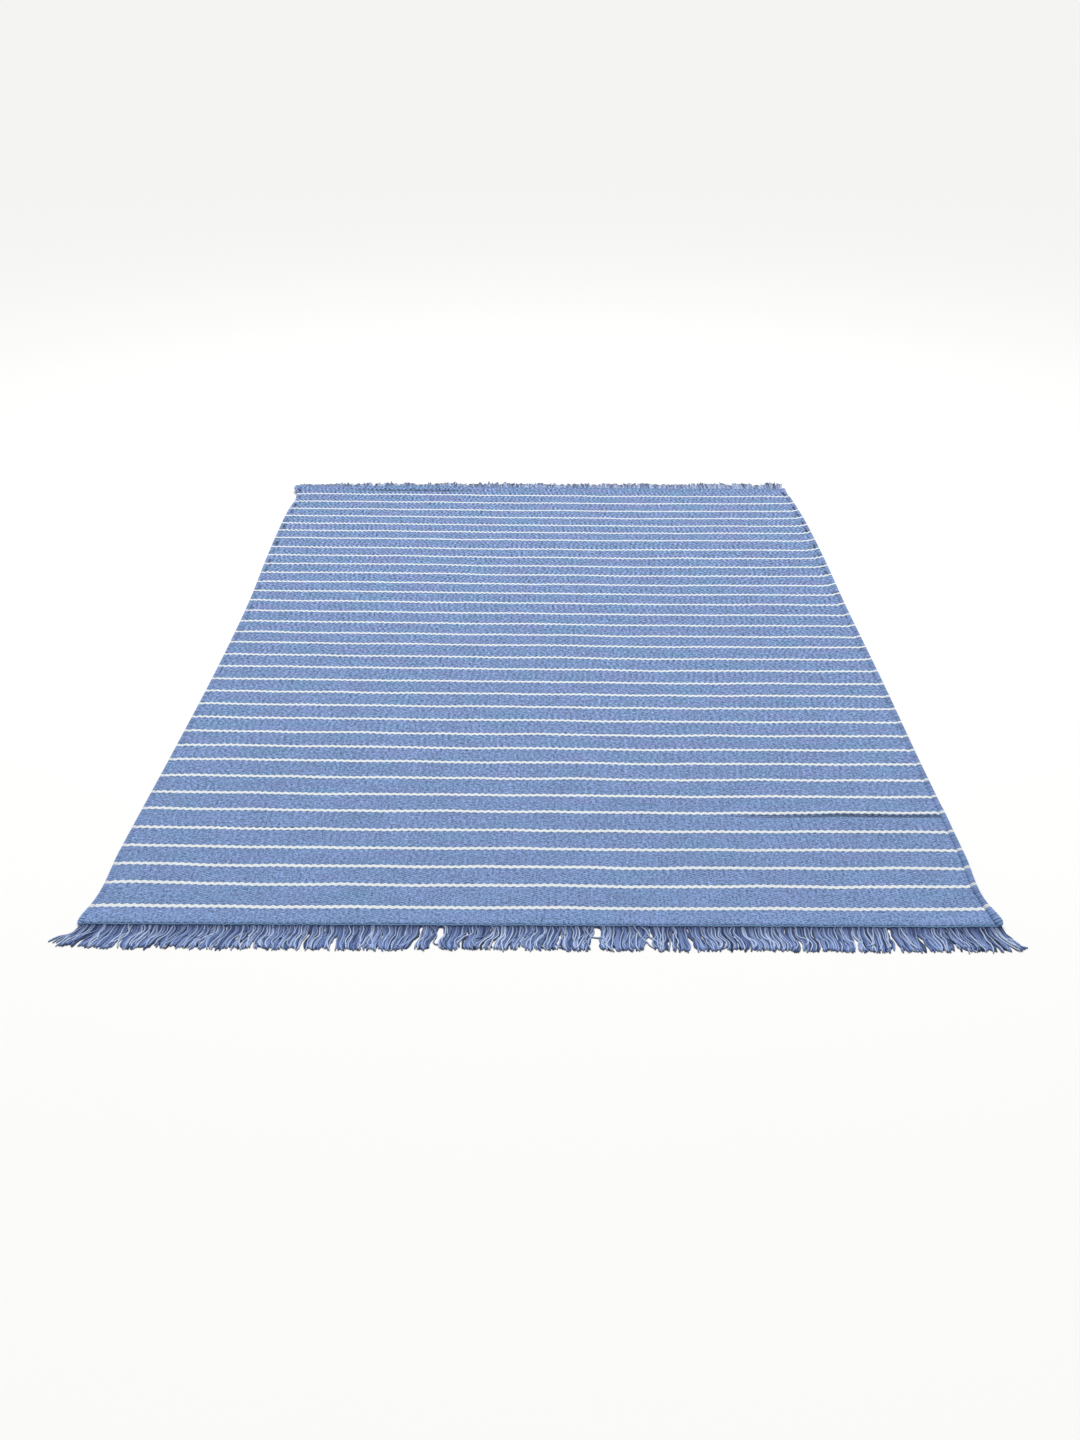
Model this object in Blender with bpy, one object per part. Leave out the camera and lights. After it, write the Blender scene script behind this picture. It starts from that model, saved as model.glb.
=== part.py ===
"""A flat-woven cotton rug with narrow stripes and a fringe of warp ends at both ends.

Metres, +Z up. The origin is the middle of the underside, on the floor. X runs across the rug and Y runs
along it, from the near end to the far end. Places along the rug are measured from its near end.
"""

import math

import bmesh
import bpy
import numpy as np


def table(columns, rows):
    """A short table as named columns."""
    return {name: np.array(values, float) for name, values in zip(columns, zip(*rows))}


# The cloth.
CLOTH_LENGTH = 2.000
CLOTH_WIDTH = 1.400
CLOTH_THICKNESS = 0.005
PICK_SKEW = 0.008  # how much farther along the rug a pick's left end lies than its right end
FIELD_COLUMNS = 14  # columns of faces between the two selvedges

# The stripes: a few picks of another colour, which draw the side edges in where they turn.
STRIPES = 35
FIRST_STRIPE = 0.0426
STRIPE_PITCH = 0.05556
STRIPE_LAG = 0.0154  # how far the middle stripe lies behind an even spacing
STRIPE_PULL_IN = 0.0012

# Where the side edges run, from the near end to the far end.
SIDE_LINES = table(
    ("along", "left", "right"),
    (
        (0.000, -0.7020, 0.7020),
        (0.020, -0.7015, 0.6990),
        (0.045, -0.6960, 0.6920),
        (0.180, -0.6940, 0.6940),
        (0.480, -0.6850, 0.6960),
        (0.780, -0.6775, 0.7000),
        (1.200, -0.6765, 0.7005),
        (1.500, -0.6860, 0.7045),
        (1.800, -0.6885, 0.7025),
        (1.940, -0.6885, 0.6940),
        (2.000, -0.6995, 0.6920),
    ),
)

# The selvedge, from its outer line inwards: a cord of bundled warps wound by the weft, then a groove.
# Tops are shares of the cloth's thickness.
SELVEDGE = table(
    ("inset", "left_top", "right_top", "underside"),
    (
        (0.0000, 0.80, 0.90, 0.0024),
        (0.0012, 1.22, 1.50, 0.0008),
        (0.0035, 1.42, 1.80, 0.0000),
        (0.0065, 1.30, 1.60, 0.0000),
        (0.0090, 1.04, 1.12, 0.0000),
        (0.0115, 0.90, 0.88, 0.0000),
        (0.0150, 1.00, 1.00, 0.0000),
    ),
)

# The woven ends, from the last pick inwards.
WOVEN_END = table(
    ("inset", "top", "underside"),
    (
        (0.0000, 0.66, 0.0010),
        (0.0020, 1.00, 0.0002),
        (0.0060, 1.10, 0.0000),
        (0.0140, 1.00, 0.0000),
    ),
)

# Where the cloth lies off the floor: the left of the far end, with its curled corner and a short ruck that
# follows a pick, a near corner, and a few low swells in the field.
SWELLS = table(
    ("across", "along", "reach_across", "reach_along", "height"),
    (
        (-0.75, 2.020, 1.30, 0.170, 0.0060),
        (-0.71, 2.010, 0.20, 0.100, 0.0018),
        (-0.33, 2.004, 0.17, 0.030, 0.0030),
        (0.70, 0.000, 0.08, 0.050, 0.0016),
        (0.58, 0.300, 0.20, 0.060, 0.0024),
        (-0.36, 1.380, 0.28, 0.180, 0.0016),
        (0.40, 1.560, 0.26, 0.160, 0.0014),
        (-0.44, 0.520, 0.24, 0.150, 0.0014),
    ),
)

# The fringe. Each strand is a lock of three or four warp ends that lie together.
STRANDS = 140
NEAR_STRAND_LENGTH = 0.047
FAR_STRAND_LENGTH = 0.042
STRAND_LENGTH_SPREAD = 0.004
STRAND_WIDTH = 0.0062
STRAND_HEIGHT = 0.0040
STRAND_SWAY_SPREAD = 0.0006
STRAND_SECTIONS = 3
STRAND_TIP = 0.60  # the tip's width and height as a share of the strand's
SWAY_POWER = 1.5  # a strand leaves its root square to the edge and leans more towards its tip
STRIP_DEPTH = 0.0040
STRIP_HEIGHT = 0.0034
STRIP_INSET = 0.0030  # how far the strip stops short of each side edge
PIECE_GAP = 0.0003
PARTING_REACH = 0.040
NEAR_SEED = 11
FAR_SEED = 23
OUTWARD = -0.9  # a face whose normal's Y is below this looks away from the cloth

# How far the tips lie sideways of their roots. Each fringe's tables are in its own frame, seen with the cloth
# behind it and the strands towards the viewer.
NEAR_LEAN = table(
    ("across", "sideways"),
    (
        (-0.700, -0.034),
        (-0.680, -0.029),
        (-0.655, -0.018),
        (-0.560, -0.015),
        (-0.400, -0.009),
        (-0.200, -0.005),
        (0.000, -0.007),
        (0.180, -0.003),
        (0.280, 0.009),
        (0.380, 0.006),
        (0.480, -0.001),
        (0.600, 0.008),
        (0.660, 0.014),
        (0.700, 0.024),
    ),
)
FAR_LEAN = table(
    ("across", "sideways"),
    (
        (-0.700, 0.012),
        (-0.600, 0.006),
        (-0.350, -0.006),
        (-0.100, 0.004),
        (0.150, -0.004),
        (0.400, 0.005),
        (0.620, 0.010),
        (0.700, 0.022),
    ),
)

# Where locks of the fringe part and the floor shows between them.
NEAR_PARTINGS = table(
    ("across", "width"),
    (
        (-0.668, 0.010),
        (-0.612, 0.013),
        (-0.538, 0.005),
        (-0.348, 0.009),
        (-0.290, 0.008),
        (-0.226, 0.004),
        (-0.180, 0.005),
        (-0.150, 0.010),
        (-0.110, 0.005),
        (0.026, 0.006),
        (0.082, 0.011),
        (0.162, 0.014),
        (0.212, 0.006),
        (0.322, 0.005),
        (0.364, 0.005),
        (0.462, 0.009),
        (0.574, 0.007),
    ),
)
FAR_PARTINGS = table(
    ("across", "width"),
    (
        (-0.560, 0.006),
        (-0.420, 0.010),
        (-0.310, 0.005),
        (-0.190, 0.008),
        (-0.040, 0.006),
        (0.060, 0.009),
        (0.200, 0.012),
        (0.330, 0.006),
        (0.450, 0.010),
        (0.590, 0.007),
    ),
)

FIELD_COLOUR = (0.209, 0.308, 0.535)
FRINGE_COLOUR = (0.185, 0.275, 0.480)
COTTON_ROUGHNESS = 0.92
SHARP_ANGLE = math.radians(40)


def smooth_line(stations, values, places):
    """Cubic pieces through the stations, with slopes taken from the neighbouring stations."""
    slopes = np.gradient(values, stations)
    low = np.clip(np.searchsorted(stations, places) - 1, 0, len(stations) - 2)
    step = stations[low + 1] - stations[low]
    t = (np.clip(places, stations[0], stations[-1]) - stations[low]) / step
    ease = 3 * t**2 - 2 * t**3
    leaving = slopes[low] * step * (t**3 - 2 * t**2 + t)
    arriving = slopes[low + 1] * step * (t**3 - t**2)
    return values[low] * (1 - ease) + values[low + 1] * ease + leaving + arriving


def stripe_places():
    """The stripes' middles along the rug, closer together in its near half than in its far half."""
    index = np.arange(STRIPES)
    share = index / (STRIPES - 1)
    return FIRST_STRIPE + STRIPE_PITCH * index - 4 * STRIPE_LAG * share * (1 - share)


def row_places():
    """Places along the rug that carry a row of points: each stripe, each band's middle and both ends."""
    stripes = stripe_places()
    bands = (stripes[:-1] + stripes[1:]) / 2
    far_band = (stripes[-1] + CLOTH_LENGTH) / 2
    ends = WOVEN_END["inset"]
    return np.sort(np.concatenate([stripes, bands, [far_band], ends, CLOTH_LENGTH - ends]))


def side_edges(along):
    """The left and right edge at each place, drawn in where a stripe's weft turns."""
    nearest = np.abs(stripe_places()[:, None] - along[None, :]).min(axis=0)
    pull = STRIPE_PULL_IN * np.clip(1 - nearest / (STRIPE_PITCH / 2), 0, 1)
    left = smooth_line(SIDE_LINES["along"], SIDE_LINES["left"], along) + pull
    right = smooth_line(SIDE_LINES["along"], SIDE_LINES["right"], along) - pull
    return left, right


def floor_clearance(x, along):
    """Height of the underside: the sum of smooth mounds, each exactly zero outside its own ellipse."""
    height = np.zeros(np.broadcast(x, along).shape)
    for across, place, reach_across, reach_along, top in zip(*SWELLS.values()):
        distance = ((x - across) / reach_across) ** 2 + ((along - place) / reach_along) ** 2
        height = height + top * np.clip(1 - distance, 0, None) ** 2
    return height


def pick_y(x, along):
    """Y of a place on the pick that crosses the middle of the rug at this distance along it."""
    return along - CLOTH_LENGTH / 2 - PICK_SKEW * x / CLOTH_WIDTH


def field_surfaces():
    """The cloth's underside and top as two arrays of points, [row, column, xyz]."""
    along = row_places()
    left, right = side_edges(along)
    inset = SELVEDGE["inset"]
    spread = np.linspace(0, 1, FIELD_COLUMNS + 1)[None, 1:-1]
    inner_left = (left + inset[-1])[:, None]
    inner_right = (right - inset[-1])[:, None]
    inner = inner_left + (inner_right - inner_left) * spread
    x = np.hstack([left[:, None] + inset, inner, right[:, None] - inset[::-1]])
    along = along[:, None] + np.zeros_like(x)

    flat = np.ones(FIELD_COLUMNS - 1)
    side_top = np.concatenate([SELVEDGE["left_top"], flat, SELVEDGE["right_top"][::-1]])
    side_under = np.concatenate([SELVEDGE["underside"], 0 * flat, SELVEDGE["underside"][::-1]])
    from_end = np.minimum(along, CLOTH_LENGTH - along)
    end_top = np.interp(from_end, WOVEN_END["inset"], WOVEN_END["top"])
    end_under = np.interp(from_end, WOVEN_END["inset"], WOVEN_END["underside"])

    y = pick_y(x, along)
    clearance = floor_clearance(x, along)
    under = clearance + np.maximum(side_under, end_under)
    top = clearance + CLOTH_THICKNESS * side_top * end_top
    return np.stack([x, y, under], axis=2), np.stack([x, y, top], axis=2)


def raised_grid(under, top):
    """A grid of faces laid on the underside's points, extruded up to the top's points."""
    rows, columns = under.shape[:2]
    mesh = bmesh.new()
    bmesh.ops.create_grid(mesh, x_segments=columns - 1, y_segments=rows - 1, size=0.5)
    lower = list(mesh.verts)
    extruded = bmesh.ops.extrude_face_region(mesh, geom=mesh.faces[:])
    upper = [part for part in extruded["geom"] if isinstance(part, bmesh.types.BMVert)]
    for vertices, points in ((lower, under), (upper, top)):
        for vertex in vertices:
            column = round((vertex.co.x + 0.5) * (columns - 1))
            row = round((vertex.co.y + 0.5) * (rows - 1))
            vertex.co = points[row, column]
    bmesh.ops.recalc_face_normals(mesh, faces=mesh.faces[:])
    return mesh


def tip_sideways(roots, lean, partings):
    """How far each tip lies sideways of its root: the fringe's lean, pushed away from each parting."""
    sideways = smooth_line(lean["across"], lean["sideways"], roots)
    for across, width in zip(partings["across"], partings["width"]):
        offset = roots - across
        near = np.clip(1 - np.abs(offset) / PARTING_REACH, 0, None)
        sideways = sideways + width / 2 * np.sign(offset) * near**2
    return sideways


def strand_section(root, share, sideways, length):
    """Middle, half width and height of a strand's section, this share of the way from its root to its tip."""
    x = root + sideways * share**SWAY_POWER
    y = -STRIP_DEPTH - PIECE_GAP - share * math.sqrt(length**2 - sideways**2)
    taper = STRAND_TIP if share == 1 else 1.0
    return x, y, STRAND_WIDTH / 2 * taper, STRAND_HEIGHT * taper


def fringe_mesh(left, right, turn, strand_length, lean, partings, seed):
    """A strip along the cloth's end and the strands that grow out of it, lying on the floor.

    The fringe is in its own frame, with the cloth's end on Y = 0 and the strands running to -Y. turn is 1 for
    the near fringe and -1 for the far one, which is turned half round in place.
    """
    pitch = (right - left) / STRANDS
    roots = left + pitch * (np.arange(STRANDS) + 0.5)
    walls = np.sort(np.concatenate([[left, right], roots - STRAND_WIDTH / 2, roots + STRAND_WIDTH / 2]))
    along = 0.0 if turn > 0 else CLOTH_LENGTH
    clearance = floor_clearance(turn * walls, along)
    slope = -PICK_SKEW / CLOTH_WIDTH

    lower = np.zeros((2, len(walls), 3))
    lower[:, :, 0] = walls
    lower[0, :, 1] = slope * walls - PIECE_GAP - STRIP_DEPTH
    lower[1, :, 1] = slope * walls - PIECE_GAP
    lower[:, :, 2] = clearance
    upper = lower + np.array([0, 0, STRIP_HEIGHT])
    mesh = raised_grid(lower, upper)

    # The outer wall's faces are, by turns, a space between strands and a strand's root.
    outer = [face for face in mesh.faces if face.normal.y < OUTWARD]
    outer.sort(key=lambda face: face.calc_center_median().x)
    tips = outer[1::2]

    random = np.random.default_rng(seed)
    sideways = tip_sideways(roots, lean, partings)
    sideways = sideways + STRAND_SWAY_SPREAD * random.uniform(-1, 1, STRANDS)
    lengths = strand_length + STRAND_LENGTH_SPREAD * random.uniform(-1, 1, STRANDS)
    for section in range(1, STRAND_SECTIONS + 1):
        tips = bmesh.ops.extrude_discrete_faces(mesh, faces=tips)["faces"]
        tips.sort(key=lambda face: face.calc_center_median().x)
        for face, root, move, length in zip(tips, roots, sideways, lengths):
            x, y, half_width, height = strand_section(root, section / STRAND_SECTIONS, move, length)
            middle = face.calc_center_median()
            for vertex in face.verts:
                side = 1 if vertex.co.x > middle.x else -1
                lift = height if vertex.co.z > middle.z else 0.0
                vertex.co = (x + side * half_width, y + slope * root, lift)
    bmesh.ops.recalc_face_normals(mesh, faces=mesh.faces[:])
    return mesh


def cotton(name, colour):
    """Matt cotton yarn of one colour."""
    material = bpy.data.materials.new(name)
    material.use_nodes = True
    shader = material.node_tree.nodes["Principled BSDF"]
    shader.inputs["Base Color"].default_value = (*colour, 1.0)
    shader.inputs["Roughness"].default_value = COTTON_ROUGHNESS
    shader.inputs["Metallic"].default_value = 0.0
    return material


def add_piece(name, mesh, material, collection, parent):
    """Puts a finished mesh into the scene as one object under the rug's own origin."""
    data = bpy.data.meshes.new(name)
    mesh.to_mesh(data)
    mesh.free()
    data.materials.append(material)
    piece = bpy.data.objects.new(name, data)
    piece.parent = parent
    collection.objects.link(piece)
    return piece


def clear_scene():
    for thing in list(bpy.data.objects):
        bpy.data.objects.remove(thing, do_unlink=True)


def build_rug():
    clear_scene()
    collection = bpy.data.collections.new("striped_rug")
    bpy.context.scene.collection.children.link(collection)
    origin = bpy.data.objects.new("rug_origin", None)
    collection.objects.link(origin)

    under, top = field_surfaces()
    cloth = raised_grid(under, top)
    field = add_piece("woven_field", cloth, cotton("woven_cotton", FIELD_COLOUR), collection, origin)
    field.data.shade_smooth()
    field.data.set_sharp_from_angle(angle=SHARP_ANGLE)

    left, right = side_edges(np.array([0.0, CLOTH_LENGTH]))
    near_ends = left[0] + STRIP_INSET, right[0] - STRIP_INSET
    near = fringe_mesh(*near_ends, 1, NEAR_STRAND_LENGTH, NEAR_LEAN, NEAR_PARTINGS, NEAR_SEED)
    near_yarn = cotton("near_fringe_yarn", FRINGE_COLOUR)
    near_fringe = add_piece("fringe_near", near, near_yarn, collection, origin)
    near_fringe.location.y = -CLOTH_LENGTH / 2

    # Turned half round, the far fringe has the rug's right side on its own left.
    far_ends = -right[1] + STRIP_INSET, -left[1] - STRIP_INSET
    far = fringe_mesh(*far_ends, -1, FAR_STRAND_LENGTH, FAR_LEAN, FAR_PARTINGS, FAR_SEED)
    far_yarn = cotton("far_fringe_yarn", FRINGE_COLOUR)
    far_fringe = add_piece("fringe_far", far, far_yarn, collection, origin)
    far_fringe.location.y = CLOTH_LENGTH / 2
    far_fringe.rotation_euler.z = math.pi


build_rug()
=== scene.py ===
"""Looks of a striped flat-woven cotton rug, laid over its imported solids.

Metres, +Z up, in the frame of the solids: X across the rug, Y along it. "Along" is the distance from the
rug's near end, and "across" is X.
"""

import math

import bpy
import numpy as np
from bpy.props import FloatProperty, FloatVectorProperty, IntProperty, PointerProperty
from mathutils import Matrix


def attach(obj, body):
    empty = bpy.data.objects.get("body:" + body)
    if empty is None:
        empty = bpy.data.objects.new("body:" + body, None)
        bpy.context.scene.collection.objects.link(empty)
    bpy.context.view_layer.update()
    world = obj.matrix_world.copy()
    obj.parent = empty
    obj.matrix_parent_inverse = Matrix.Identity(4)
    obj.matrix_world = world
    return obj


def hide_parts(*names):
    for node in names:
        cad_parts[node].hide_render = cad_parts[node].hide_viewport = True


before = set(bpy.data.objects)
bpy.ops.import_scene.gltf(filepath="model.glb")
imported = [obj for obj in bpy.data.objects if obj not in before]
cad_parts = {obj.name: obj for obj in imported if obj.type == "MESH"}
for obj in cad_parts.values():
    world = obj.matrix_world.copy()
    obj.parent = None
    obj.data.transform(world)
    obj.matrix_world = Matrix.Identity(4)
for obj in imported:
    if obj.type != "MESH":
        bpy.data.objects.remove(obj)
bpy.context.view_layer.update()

bl_info = {
    "name": "Striped rug",
    "version": (1, 0, 0),
    "blender": (4, 5, 0),
    "location": "3D View > Sidebar > Rug",
    "description": "Weaves a striped cotton rug with corded selvedges and fringed ends",
    "category": "Add Mesh",
}


def table(columns, rows):
    """A short table as named columns."""
    return {name: np.array(values, float) for name, values in zip(columns.split(), zip(*rows))}


# Middles of the pale stripes on the rug's middle line, in millimetres from the near end.
STRIPE_MIDDLES = np.array([
    41.8, 99.6, 149.9, 201.6, 255.8, 313.7, 366.9, 422.7, 478.9, 530.0, 583.6, 638.4,
    693.2, 747.4, 801.2, 858.2, 913.4, 973.0, 1025.3, 1082.0, 1139.0, 1196.9, 1253.2, 1308.2,
    1364.5, 1420.7, 1476.9, 1532.2, 1596.1, 1650.1, 1703.1, 1759.7, 1815.5, 1875.4, 1933.4,
])

# How much farther along the rug a pick's left end lies than its right end, for each metre of its length.
PICK_SLOPE = 0.008 / 1.4

# Where the side edges run, from the near end to the far end.
SIDE_LINES = table("along left right", [
    (0.000, -0.7060, 0.7020),
    (0.016, -0.7045, 0.6990),
    (0.045, -0.6975, 0.6920),
    (0.180, -0.6940, 0.6940),
    (0.480, -0.6850, 0.6960),
    (0.780, -0.6775, 0.7000),
    (1.200, -0.6765, 0.7005),
    (1.500, -0.6860, 0.7045),
    (1.800, -0.6885, 0.7025),
    (1.930, -0.6845, 0.6960),
    (1.955, -0.6890, 0.6935),
    (1.975, -0.6980, 0.6930),
    (2.000, -0.6960, 0.6930),
])

# How far the picks bow out of their straight lines in the near part, the middle and the far part.
PICK_BOW = table("across near middle far", [
    (-0.70, 0.0065, 0.0150, 0.0150),
    (-0.60, 0.0049, 0.0120, 0.0120),
    (-0.44, 0.0011, 0.0080, 0.0095),
    (-0.28, 0.0006, 0.0048, 0.0055),
    (-0.12, 0.0000, 0.0012, 0.0006),
    (0.04, -0.0001, -0.0008, -0.0003),
    (0.20, -0.0024, -0.0058, -0.0045),
    (0.36, -0.0003, -0.0070, -0.0052),
    (0.52, -0.0006, -0.0068, -0.0035),
    (0.70, 0.0010, -0.0085, -0.0010),
])
BOW_PLACES = (0.0, 0.10, 1.00, 1.85, 2.0)

# How far the picks hook towards the far end where they reach the right edge, and how wide the hook is.
HOOKS = table("along reach", [
    (0.000, 0.000),
    (0.012, 0.001),
    (0.035, 0.008),
    (0.060, 0.007),
    (0.120, 0.004),
    (0.300, 0.002),
    (1.000, 0.003),
    (1.500, 0.006),
    (1.900, 0.008),
    (1.960, 0.003),
    (2.000, 0.000),
])
HOOK_WIDTH = 0.016

# Slow waves in the picks, each with its own wavelengths across and along the rug.
PICK_WAVES = table("height across along phase", [
    (0.0007, 0.310, 0.47, 0.4),
    (0.0005, 0.170, -0.29, 2.1),
    (0.0003, 0.083, 0.21, 4.0),
])

# Sharp troughs that run across the cloth between two picks, deepest in the middle of their reach.
TROUGHS = table("from_across to_across along half_width depth", [
    (0.290, 0.860, 0.3040, 0.0074, 0.0025),
    (-0.540, -0.160, 1.9680, 0.0115, 0.0032),
    (0.250, 0.420, 0.2010, 0.0022, 0.0007),
    (-0.560, -0.380, 0.2590, 0.0022, 0.0006),
])

# How open the weave looks, shown as painted shade between its grains: its places along the rug, and the
# strength of that painted shade as a share.
WEAVE_PAINTED_SHADE = ((0.0, 0.006, 0.012, 0.034, 0.046, 1.96, 2.0), (1.0, 0.9, 0.5, 0.5, 1.0, 1.0, 0.8))

# Where painted shade darkens the weave beside the two cords, as waves of the same kind as those of the picks.
GROOVE_PAINTED_SHADE = table("height across along phase", [
    (1.0, 0.430, 0.058, 0.0),
    (0.8, -0.350, 0.139, 1.1),
    (0.5, 0.270, 0.031, 2.0),
])

# Low cockles of the cloth, of the same kind.
COCKLES = table("height across along phase", [
    (0.00016, 0.240, 0.150, 0.0),
    (0.00013, -0.170, 0.098, 1.3),
    (0.00010, 0.105, -0.071, 2.9),
    (0.00007, 0.067, 0.052, 5.0),
])

# Where the cloth lies off the floor: smooth mounds on ellipses.
SWELLS = table("across along reach_across reach_along height", [
    (-0.75, 2.020, 1.30, 0.170, 0.0060),
    (-0.71, 2.010, 0.20, 0.100, 0.0018),
    (-0.33, 2.004, 0.17, 0.030, 0.0030),
    (0.70, 0.000, 0.08, 0.050, 0.0016),
    (0.58, 0.300, 0.20, 0.060, 0.0024),
    (0.706, 0.085, 0.034, 0.090, 0.0035),
    (0.710, 1.420, 0.036, 0.800, 0.0058),
    (-0.36, 1.380, 0.28, 0.180, 0.0016),
    (0.40, 1.560, 0.26, 0.160, 0.0014),
    (-0.44, 0.520, 0.24, 0.150, 0.0014),
])

# Width and height of the two selvedge cords, as shares of their usual sizes.
CORD_SHAPE = table("along left_width left_height right_width right_height", [
    (0.000, 0.80, 0.80, 0.95, 1.00),
    (0.005, 1.00, 0.98, 1.25, 1.20),
    (0.015, 1.02, 1.00, 1.20, 1.22),
    (0.032, 1.00, 1.00, 1.00, 1.12),
    (0.110, 1.00, 1.00, 1.00, 1.08),
    (0.400, 1.00, 1.00, 1.00, 0.92),
    (1.000, 0.98, 1.00, 0.95, 0.78),
    (1.600, 1.00, 1.00, 0.90, 0.68),
    (1.900, 1.00, 1.00, 0.90, 0.70),
    (1.970, 1.00, 1.00, 0.95, 0.80),
    (1.992, 1.15, 1.10, 0.95, 0.95),
    (2.000, 0.85, 0.85, 0.75, 0.75),
])

# How far the fringe's tips lie sideways of their roots, seen with the cloth behind and the yarns towards the
# viewer. The far fringe's tables are read the same way, from behind the rug.
NEAR_LEAN = table("across sideways curve", [
    (-0.700, -0.034, 0.0),
    (-0.680, -0.029, 0.0),
    (-0.655, -0.018, 0.5),
    (-0.560, -0.015, 1.0),
    (-0.400, -0.009, 1.0),
    (-0.200, -0.005, 0.6),
    (-0.060, -0.011, 1.4),
    (0.040, -0.004, 0.8),
    (0.180, -0.003, 0.4),
    (0.280, 0.009, -1.3),
    (0.380, 0.006, -1.2),
    (0.480, -0.001, -0.3),
    (0.600, 0.008, -0.8),
    (0.660, 0.014, -0.5),
    (0.700, 0.024, 0.3),
])
FAR_LEAN = table("across sideways curve", [
    (-0.700, -0.008, 0.2),
    (-0.600, 0.003, 0.8),
    (-0.350, -0.006, -0.7),
    (-0.100, 0.004, 1.0),
    (0.150, -0.004, -0.9),
    (0.400, 0.005, 0.8),
    (0.620, 0.004, -0.6),
    (0.700, -0.002, 0.1),
])

# Where locks of the fringe part and the floor shows between them: the opening's width at the tips and just
# outside the cloth.
NEAR_PARTINGS = table("across width root_width", [
    (-0.668, 0.010, 0.0),
    (-0.618, 0.014, 0.0),
    (-0.560, 0.009, 0.0),
    (-0.347, 0.011, 0.0020),
    (-0.304, 0.010, 0.0),
    (-0.238, 0.005, 0.0),
    (-0.181, 0.009, 0.0060),
    (-0.151, 0.004, 0.0130),
    (-0.110, 0.008, 0.0030),
    (0.029, 0.012, 0.0),
    (0.084, 0.009, 0.0130),
    (0.166, 0.026, 0.0040),
    (0.221, 0.007, 0.0025),
    (0.322, 0.004, 0.0),
    (0.383, 0.007, 0.0),
    (0.470, 0.013, 0.0030),
    (0.527, 0.007, 0.0050),
    (0.567, 0.005, 0.0030),
    (0.608, 0.008, 0.0),
])
FAR_PARTINGS = table("across width root_width", [
    (-0.640, 0.006, 0.0),
    (-0.420, 0.003, 0.0),
    (-0.260, 0.005, 0.0),
    (-0.040, 0.002, 0.0),
    (0.200, 0.005, 0.0),
    (0.450, 0.003, 0.0),
])

# Single yarns that lie on top of the rest and cross a parting: root, sideways move and curve.
NEAR_STRAYS = table("across sideways curve", [
    (-0.6985, -0.041, 0.3),
    (-0.6950, -0.038, 0.5),
    (-0.1660, 0.026, 2.5),
    (0.0660, 0.030, -2.0),
    (0.1430, 0.027, 0.0),
    (0.1510, 0.033, 0.3),
    (0.6820, 0.026, 0.2),
    (0.6880, 0.028, 0.2),
    (0.6960, 0.029, 0.3),
])
FAR_STRAYS = table("across sideways curve", [
    (-0.400, -0.026, 1.5),
    (0.215, -0.025, 1.0),
    (0.470, -0.024, -1.5),
])

PARTING_REACH = 0.032
NEAR_SEED = 31
FAR_SEED = 47

# The section of the cloth's woven ends, and of the groove beside each cord: distance from the edge, top as a
# share of the cloth's thickness, height of the underside, and how much of the groove's painted shade shows
# there.
WOVEN_END = table("inset top underside", [
    (0.0024, 0.45, 0.0016),
    (0.0030, 0.72, 0.0010),
    (0.0040, 0.90, 0.0004),
    (0.0058, 1.00, 0.0),
    (0.0094, 1.00, 0.0),
])
GROOVE = table("inset top underside openness", [
    (0.0050, 0.80, 0.0014, 1.0),
    (0.0080, 0.92, 0.0006, 1.0),
    (0.0097, 0.88, 0.0002, 1.0),
    (0.0112, 0.86, 0.0, 0.8),
    (0.0128, 0.93, 0.0, 0.5),
    (0.0150, 1.00, 0.0, 0.2),
    (0.0200, 1.00, 0.0, 0.0),
])
# Painted shade in the grooves beside the cords: its usual strength, and how it grows along the rug towards the
# far end.
GROOVE_SHADE_BASE = 0.7
GROOVE_SHADE_GROWTH = ((0.4, 1.3, 1.8), (0.0, 1.0, 1.3))
# How much a trough adds to the strength of the painted shade.
TROUGH_PAINTED_SHADE = 2.2

# Distances from a woven end over which the picks' waves and the cockles grow to their full height.
WAVE_FADE = 0.06
COCKLE_FADE = 0.03

# The least distance between two rows of the field's points, and the empty rim of its baked texture.
LEAST_ROW_GAP = 0.0002
BAKE_MARGIN = 0.004

# The cords: points round the section, distance from the woven end, and the rounding of their ends.
CORD_SIDES = 14
CORD_INSET = 0.0006
CORD_END_REACH = 0.004
CORD_END_SIZE = 0.25
CORD_SWELL_POWER = 0.7

# The end picks: points round the section and rings for each wave, how far they reach across, what they keep
# clear of the side edges, and their height as a share of the cloth's thickness.
END_PICK_SIDES = 8
END_PICK_RINGS = 8
END_PICK_REACH = 0.697
END_PICK_MARGIN = 0.004
END_PICK_HEIGHT = 0.60

# The fringe: the usual width of a lock, the share of yarns that cross their neighbours, the most that a yarn
# leans as a share of its length, where a tip begins to hook, and where the line lies inside the cloth.
YARN_SIDES = 6
LOCK_WIDTH = 0.025
CROSSING_SHARE = 0.11
MOST_LEAN = 0.80
HOOK_START = 0.65
INSIDE_CLOTH = (0.0052, 0.0024)
TIP_SIZE = 0.72

# Settling, as shares of a yarn's thickness: the fall in each round, the distance at which two yarns touch,
# and the height of a yarn's middle over the floor. Then how far a push sideways and one upwards carry, and
# how many points along a neighbour may touch.
FALL = 0.10
TOUCH = 0.94
FLOOR_TOUCH = 0.96
PUSH_SIDEWAYS = 0.55
PUSH_UPWARDS = 1.6
REACH_ALONG = 4

# The yarn's material: what sets each yarn's twist apart from its neighbour's, and how sharp its grooves are.
TWIST_SHIFT = 0.31
RIDGE_POWER = 0.6

# The cotton's tone: how much of it changes from pick to pick, slowly, and from fibre to fibre.
PICK_TONE = 0.06
SLOW_TONE = 0.16
FIBRE_TONE = 0.24
FIBRE_ROUGHNESS = 0.12

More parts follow.
